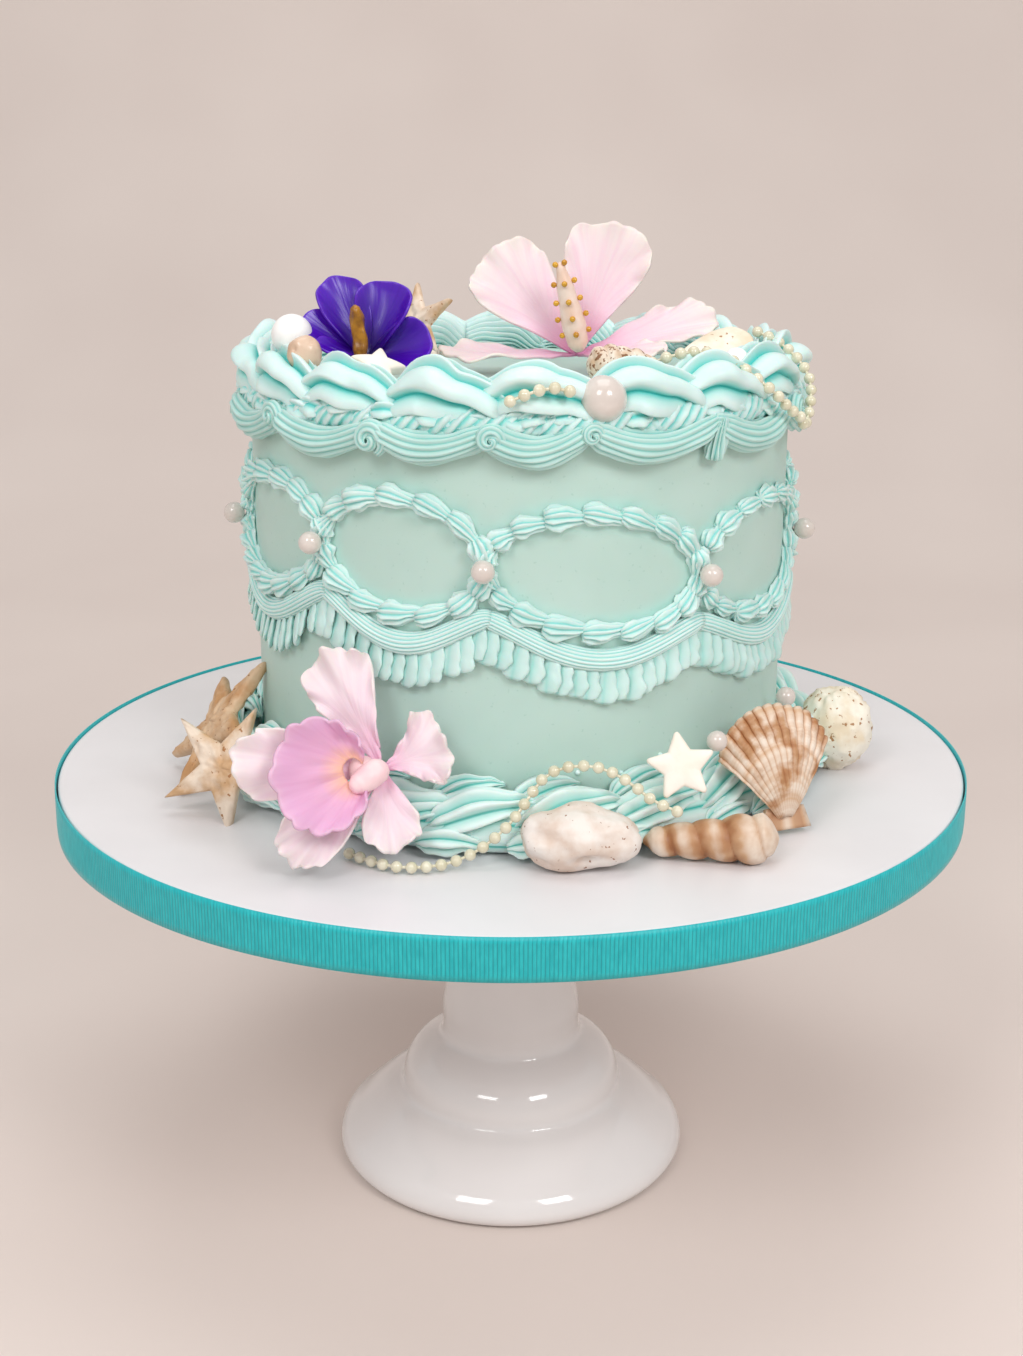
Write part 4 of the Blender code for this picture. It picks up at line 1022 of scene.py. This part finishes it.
# %% Orchid lip
lip_paste = veined("lip_paste", (238, 184, 160), (228, 176, 206), (222, 168, 206), (228, 186, 212),
                   (214, 150, 192))
throat = orchid_heart + towards(-7.5, -0.5, 5) * MM
bm = bmesh.new()
layers = [bm.verts.layers.float.new(name) for name in CARRIED]
bmesh.ops.create_grid(bm, x_segments=150, y_segments=28, size=1)
for vertex in bm.verts:
    u, v = vertex.co.x, 0.5 + 0.5 * vertex.co.y
    turn = math.radians(180 + 152 * u)
    wide = mixed(4.0, 17.2, v ** 0.9)
    middle = towards(-8 * v, -1.3 * v, 2 + 9 * v * v)
    wander = 1.2 * noise.noise(Vector((4 * u, 0.5, 0.5)))
    lobe = abs(math.cos(17 * u + wander)) ** 0.8
    keel = 0.7 * math.cos(26 * u) * math.exp(-((v - 0.4) / 0.25) ** 2) * math.exp(-(u / 0.5) ** 2)
    rim = (RIGHT * math.cos(turn) * 0.88 + RISE * math.sin(turn) * 1.05) * wide * (1 + 0.10 * lobe * v ** 5)
    sway = 1.2 * noise.noise(Vector((3 * u, 2 * v, 1)))
    depth = 1.6 * math.cos(17 * u + wander + 0.6) * v ** 5 + keel + sway
    vertex.co = throat + (middle + rim + FACE * depth) * MM
    for layer, value in zip(layers, (0.5 + 0.5 * u, v, v ** 12)):
        vertex[layer] = value
sheeted(piece("orchid_lip_frill", bm, lip_paste, ["orchid_lip"]), 1.0)

# %% [markdown]
# The column is the small rounded club over the throat, and a ball of paste behind the lip holds the
# petals together, as it does on a wired sugar orchid.

# %% Orchid column
column_paste = two_tone("column_paste", 0.45, 100, (244, 200, 206), (250, 222, 222))
COLUMN_GIRTH = ((0.0, 1.6), (0.06, 3.2), (0.2, 4.4), (0.5, 4.6), (0.8, 3.8), (0.94, 2.6), (1.0, 1.2))
HUB_RADIUS = 4.8 * MM
column_foot = orchid_heart + towards(3.5, 0.5, 7) * MM


def column_path(share):
    rise = 14.5 * share
    return column_foot + towards(-0.8 * rise, -0.5 * rise, 0.15 * rise) * MM


bm = bmesh.new()
piped(bm, column_path, swelling(COLUMN_GIRTH), 3, 0.04, 30, 24, out_at=lambda point: FACE)
piece("orchid_column_paste", bm, column_paste, ["orchid_column"])

bm = bmesh.new()
made = bmesh.ops.create_uvsphere(bm, u_segments=32, v_segments=20, radius=HUB_RADIUS)
bmesh.ops.translate(bm, verts=made["verts"], vec=orchid_heart + towards(-6, 0, 2) * MM)
piece("orchid_hub", bm, column_paste, ["orchid_petals"])

# %% [markdown]
# ## Shells, stars and starfish
# The shells are moulded in sugar paste and dusted with brown. Their finish is pale paste with
# darker clouds and small brown pinholes, and a plain shell is a ball pressed out of round.

# %% Dusted paste
def dusted(name, pale, cloud, stain, amount, roughness=0.5, scale=90):
    """Pale paste with clouds, and pinholes of stain; fewer of them where amount is higher."""
    material, tree, shader = new_finish(name, roughness)
    pale, cloud, stain = (paint(*colour) for colour in (pale, cloud, stain))
    clouds = ramp(tree, mottle(tree, scale, 4.0), [(0.42, pale), (0.62, cloud)])
    holes = ramp(tree, mottle(tree, scale * 5, 2.0), [(amount, (0, 0, 0)), (amount + 0.04, (1, 1, 1))])
    coloured(tree, shader, blend(tree, holes, clouds, stain))
    bumped(tree, shader, mottle(tree, scale * 2.5, 5.0), 0.4, 0.0008)
    return material


weathered = dusted("weathered_paste", (238, 228, 220), (222, 200, 184), (150, 96, 60), 0.68)
creamy = dusted("creamy_paste", (244, 236, 220), (232, 214, 186), (170, 124, 80), 0.64)
sandy = dusted("sandy_paste", (233, 214, 194), (206, 166, 124), (168, 116, 70), 0.66, 0.6)
driftwood = dusted("driftwood_paste", (216, 184, 150), (196, 146, 98), (150, 100, 60), 0.66, 0.6)
speckled = dusted("speckled_paste", (238, 224, 208), (212, 178, 146), (136, 92, 58), 0.57, 0.5, 130)
plain_sugar = dusted("plain_sugar", (250, 240, 228), (247, 235, 220), (240, 226, 208), 0.8, 0.45)
bean_gloss = dusted("bean_gloss", (224, 194, 170), (206, 170, 142), (140, 92, 60), 0.78, 0.25)


def pressed(name, centre, size, material, node, seed, lump, rough, dent=None):
    """A ball pressed into an uneven pebble; dent is (place, reach, depth) on the unit ball."""
    bm = bmesh.new()
    bmesh.ops.create_uvsphere(bm, u_segments=64, v_segments=40, radius=1)
    for vertex in bm.verts:
        spot = vertex.co.copy()
        swell = 1 + lump * noise.noise(spot * 1.7 + Vector((seed, 0, 0)))
        swell += rough * noise.noise(spot * 7 + Vector((0, seed, 0)))
        if dent:
            place, reach, depth = dent
            swell -= depth * math.exp(-((spot - Vector(place)).length / reach) ** 2)
        spot *= swell
        vertex.co = centre + Vector((spot.x * size[0] / 2, spot.y * size[1] / 2, spot.z * size[2] / 2)) * MM
    piece(name, bm, material, [node])


pressed("folded_shell", at(23, -122.5, 11.2), (41, 25, 21.8), weathered, "pebble_shell",
        1.0, 0.16, 0.03, ((0.12, -0.9, -0.4), 0.2, 0.3))
pressed("wormy_shell", at(126.5, -20, 16.2), (28.5, 27, 32), creamy, "round_shell",
        5.0, 0.1, 0.08)
pressed("little_snail", at(-71.5, -57, 164.5), (12.5, 9.5, 12.5), bean_gloss, "snail",
        3.0, 0.1, 0.01, ((-0.5, -0.8, 0.35), 0.16, 0.18))
pressed("sugar_lump", at(-30, 5, 155.2), (7, 6.5, 9.4), plain_sugar, "sugar_block",
        9.0, 0.05, 0.02)

# %% [markdown]
# A starfish is also made from a ball: every point is pushed out to the edge of a five-armed star,
# so the arms stay rounded on top and thin towards their tips.

# %% Stars
def star_edge(turn, inner):
    """How far a five-pointed star with tips at 1 and valleys at inner reaches at this angle."""
    fifth = math.pi / 5
    phi = abs((turn + fifth) % (2 * fifth) - fifth)
    edge = inner * math.sin(fifth)
    return edge / (math.sin(phi) * (1 - inner * math.cos(fifth)) + math.cos(phi) * edge)


STARFISH_VALLEY = 0.36


def star(name, centre, facing, up, radius, thickness, material, node, inner=0.45, spin=0.0, droop=0.0,
         blunt=0.0, rough=0.0, plump=0.5):
    """A ball drawn out into a star in the plane that faces this way; a low plump gives steep sides."""
    facing = Vector(facing).normalized()
    up = (Vector(up) - facing * Vector(up).dot(facing)).normalized()
    right = up.cross(facing)
    bm = bmesh.new()
    bmesh.ops.create_uvsphere(bm, u_segments=120, v_segments=28, radius=1)
    for vertex in bm.verts:
        spot = vertex.co.copy()
        turn = math.atan2(spot.x, spot.y)
        flat = math.hypot(spot.x, spot.y)
        reach = min(star_edge(turn - math.radians(spin), inner), 1 - blunt)
        far = radius * flat * reach
        aside, ahead = far * math.sin(turn), far * math.cos(turn)
        thick = thickness / 2 * math.copysign(abs(spot.z) ** plump, spot.z)
        thick *= 1 + rough * noise.noise(Vector((0.35 * aside, 0.35 * ahead, 3)))
        lift = thick - droop * (flat * reach) ** 2
        vertex.co = centre + (right * aside + up * ahead + facing * lift) * MM
    piece(name, bm, material, [node])


star("cut_star", at(57.8, -111, 32.2), (0, -0.94, 0.34), UP, 13.2, 5.0, plain_sugar, "sugar_star",
     inner=0.5, spin=-8, blunt=0.1, plump=0.4)
star("soft_star", at(-44.7, -75, 162.5), (0.2, -0.55, 0.8), UP, 10.8, 5, plain_sugar, "melted_star",
     spin=20, droop=2.5, blunt=0.08, plump=0.35)
star("starfish_up", at(-35, -8, 169.5), (-0.6, -0.65, 0.46), UP, 18.5, 4, sandy, "starfish_top",
     inner=STARFISH_VALLEY, spin=-22, rough=0.5)
star("starfish_near", at(-103.5, -74, 18.2), (-0.25, -0.9, 0.36), (0.45, 0, 1), 25, 6, sandy,
     "starfish_front", inner=STARFISH_VALLEY, rough=0.5)
star("starfish_far", at(-112, -35, 22), (-0.74, -0.22, 0.63), (0.55, 0, 0.83), 33, 6, driftwood,
     "starfish_back", inner=STARFISH_VALLEY, spin=-4, rough=0.5)

# %% [markdown]
# The scallop is a ribbed fan. Its ribs spread from the hinge, so each point carries a rib number
# that colours the grooves brown. It carries along too, for the growth bands round the hinge.

# %% Scallop
scallop_paste, tree, shader = new_finish("scallop_paste", 0.5)
ribs = ramp(tree, carried(tree, "rib"), [(0.0, paint(176, 128, 92)), (0.45, paint(212, 176, 144)),
                                         (0.9, paint(236, 220, 204))])
bands = add(tree, "CombineXYZ", {"X": carried(tree, "along")}).outputs[0]
rings = add(tree, "TexNoise", {"Vector": bands, "Scale": 9.0, "Detail": 3.0}).outputs["Fac"]
worn = ramp(tree, rings, [(0.4, (1, 1, 1)), (0.65, paint(232, 208, 184))])
patches = ramp(tree, mottle(tree, 75, 5.0), [(0.46, (1, 1, 1)), (0.56, paint(210, 174, 138)),
                                             (0.66, paint(182, 134, 90))])
coloured(tree, shader, blend(tree, 1.0, blend(tree, 1.0, ribs, worn, "MULTIPLY"), patches, "MULTIPLY"))
bumped(tree, shader, mottle(tree, 260, 4.0), 0.35, 0.0006)

hinge = at(97, -92, 3.5)
fan_face = Vector((0.34, -0.88, 0.33)).normalized()
fan_right = Vector((0.93, 0.37, 0)).normalized()
fan_up = fan_face.cross(fan_right).normalized()
RIBS = 14
FAN_SPREAD = 39
FAN_TURN = -4
bm = bmesh.new()
rib_layer = bm.verts.layers.float.new("rib")
along_layer = bm.verts.layers.float.new("along")
bmesh.ops.create_grid(bm, x_segments=RIBS * 8, y_segments=30, size=1)
for vertex in bm.verts:
    u, v = vertex.co.x, 0.5 + 0.5 * vertex.co.y
    ridge = abs(math.cos(RIBS * math.pi * u / 2))
    turn = math.radians(FAN_SPREAD * u + FAN_TURN)
    worn_rim = 0.8 * noise.noise(Vector((4 * u, 0.5, 0.5)))
    reach = mixed(3.5, 42.0 - 8.0 * u * u + 1.2 * ridge + worn_rim, v)
    dome = 7.5 * math.sin(math.pi * min(v * 0.8 + 0.1, 1)) * (1 - 0.6 * u * u)
    growth = 0.25 * math.sin(24 * v * v)
    vertex.co = hinge + (fan_right * math.sin(turn) * reach + fan_up * math.cos(turn) * reach
                         + fan_face * (dome + (1.3 * ridge * v) + growth)) * MM
    vertex[rib_layer] = ridge
    vertex[along_layer] = v
sheeted(piece("scallop_fan", bm, scallop_paste, ["scallop"]), 1.8)

# %% [markdown]
# The two ears beside the hinge are one small slab, thinner at its ends and narrower towards the fan.

# %% Scallop ears
bm = bmesh.new()
rib_layer = bm.verts.layers.float.new("rib")
bmesh.ops.create_cube(bm, size=1)
bmesh.ops.subdivide_edges(bm, edges=bm.edges, cuts=5, use_grid_fill=True)
for vertex in bm.verts:
    x, y, z = vertex.co
    vertex[rib_layer] = 0.5 + 0.5 * math.cos(12 * x)
    wide = mixed(19, 15, y + 0.5)
    thick = 0.6 + z * 2.6 * (1 - 0.8 * x * x)
    vertex.co = hinge + (fan_right * x * wide + fan_up * (y * 8 + 2.5) + fan_face * thick) * MM
piece("scallop_ears", bm, scallop_paste, ["scallop"])

# %% [markdown]
# The long shell is wound: a groove runs round it like a screw thread, and brown is brushed along
# some of its whorls. The conch on top is shorter and takes the speckled paste. A flat cream shell
# beside it is shaped like a petal, so it is made as one.

# %% Wound shells
wound_paste, tree, shader = new_finish("wound_paste", 0.45)
brown = ramp(tree, carried(tree, "brown"), [(0.0, paint(236, 220, 204)), (0.45, paint(200, 158, 120)),
                                            (1.0, paint(164, 110, 68))])
grain = ramp(tree, mottle(tree, 120, 5.0), [(0.4, (1, 1, 1)), (0.7, paint(228, 208, 190))])
coloured(tree, shader, blend(tree, 1.0, brown, grain, "MULTIPLY"))
bumped(tree, shader, mottle(tree, 200, 4.0), 0.3, 0.0006)


def wound(name, tail, mouth, girths, whorls, dip, material, node, browns=()):
    """A wound shell from its tail to its mouth; browns are (place, width) along its length."""
    ahead = (mouth - tail).normalized()
    side = ahead.cross(UP).normalized()
    up = side.cross(ahead)
    bm = bmesh.new()
    layer = bm.verts.layers.float.new("brown")
    bmesh.ops.create_grid(bm, x_segments=64, y_segments=110, size=0.5)
    for vertex in bm.verts:
        turn, share = 2 * math.pi * (vertex.co.x + 0.5), vertex.co.y + 0.5
        thread = whorls * share + turn / (2 * math.pi)
        swell = abs(math.sin(math.pi * thread)) ** 0.6
        closing = min(1.0, 14 * share, 9 * (1 - share)) ** 0.5
        reach = eased(girths, share) * (1 - dip * (1 - swell)) * closing
        centre = tail.lerp(mouth, share)
        vertex.co = centre + (side * math.cos(turn) + up * math.sin(turn)) * reach * MM
        slant = share + 0.10 * math.sin(turn) * (1 / whorls)
        brush = max((math.exp(-((slant - place) / width) ** 2) for place, width in browns), default=0.0)
        vertex[layer] = brush * (0.8 + 0.5 * noise.noise(vertex.co * 300)) + 0.35 * (1 - swell) ** 3
    piece(name, bm, material, [node])


wound("long_shell", at(45, -113.5, 6.2), at(91, -118.5, 9.3),
      ((0.0, 3.0), (0.15, 5.6), (0.45, 7.0), (0.8, 8.9), (0.95, 8.6), (1.0, 6.5)), 4.6, 0.2, wound_paste,
      "auger", ((0.02, 0.03), (0.22, 0.05), (0.44, 0.08), (0.66, 0.09)))
wound("spotted_conch", at(52, -36, 158.3), at(27, -39, 158.3),
      ((0.0, 2.6), (0.3, 6.0), (0.65, 7.6), (1.0, 6.0)), 5.0, 0.16, speckled, "conch")

bm = bmesh.new()
petal(bm, at(61.5, -32, 159.5), (26, 13, 8), (-0.2, -0.8, 0.7), 30, 19, cup=-3, curl=-2, narrow=0.5)
sheeted(piece("flat_cream_shell", bm, creamy, ["flat_shell"]), 1.6)

# %% [markdown]
# ## The room
# A pale seamless sheet serves as floor and backdrop: a grid whose far side is bent up.

# %% Floor and backdrop
backdrop = two_tone("backdrop_paper", 0.8, 3, (222, 209, 202), (229, 217, 210), (900, 2.0, 0.1, 0.0003),
                    (0.3, 0.7), 2.0)
WALL_START = 0.9
BEND_RADIUS = 0.8

bm = bmesh.new()
bmesh.ops.create_grid(bm, x_segments=8, y_segments=64, size=3.0)
for vertex in bm.verts:
    past = max(0.0, vertex.co.y - WALL_START)
    bend = min(past / BEND_RADIUS, math.pi / 2)
    vertex.co.y = min(vertex.co.y, WALL_START) + BEND_RADIUS * math.sin(bend)
    vertex.co.z = BEND_RADIUS * (1 - math.cos(bend)) + max(0.0, past - BEND_RADIUS * math.pi / 2)
mesh = bpy.data.meshes.new("seamless_sheet")
bm.to_mesh(mesh)
bm.free()
mesh.shade_smooth()
mesh.materials.append(backdrop)
floor = bpy.data.objects.new("seamless_sheet", mesh)
bpy.context.scene.collection.objects.link(floor)

# %% [markdown]
# Two big soft lights stand in front, left and right, as the glints on the foot show. A third hangs
# above for the tops of the puffs, and a pale world fills in the shadows.

# %% Lights
scene = bpy.context.scene
world = bpy.data.worlds.new("pale_room")
world.use_nodes = True
sky = world.node_tree.nodes["Background"]
sky.inputs["Color"].default_value = (1.0, 0.985, 0.975, 1)
sky.inputs["Strength"].default_value = 0.56
scene.world = world


def softbox(name, place, aim, width, height, power):
    light = bpy.data.lights.new(name, "AREA")
    light.shape = "RECTANGLE"
    light.size, light.size_y = width, height
    light.energy = power
    obj = bpy.data.objects.new(name, light)
    obj.location = place
    obj.rotation_euler = (Vector(aim) - Vector(place)).to_track_quat("-Z", "Y").to_euler()
    scene.collection.objects.link(obj)


softbox("left_softbox", (-0.75, -1.45, 1.55), (0, 0, 0.2), 0.7, 0.7, 11.5)
softbox("right_softbox", (0.85, -1.35, 1.35), (0, 0, 0.2), 0.6, 0.6, 12.0)
softbox("top_softbox", (0.0, 0.1, 1.9), (0, 0, 0), 1.2, 1.2, 8.0)

# %% [markdown]
# The camera stands a little above the cake and looks down by about seventeen degrees. The view
# transform is Standard, so that pastel colours keep their strength.

# %% Camera
lens = bpy.data.cameras.new("camera")
lens.lens = 47.79
lens.sensor_width = 36.0
camera = bpy.data.objects.new("camera", lens)
camera.location = (0.0003, -0.6861, 0.4134)
camera.rotation_euler = (math.radians(73.181), 0, 0)
scene.collection.objects.link(camera)
scene.camera = camera
scene.view_settings.view_transform = "Standard"
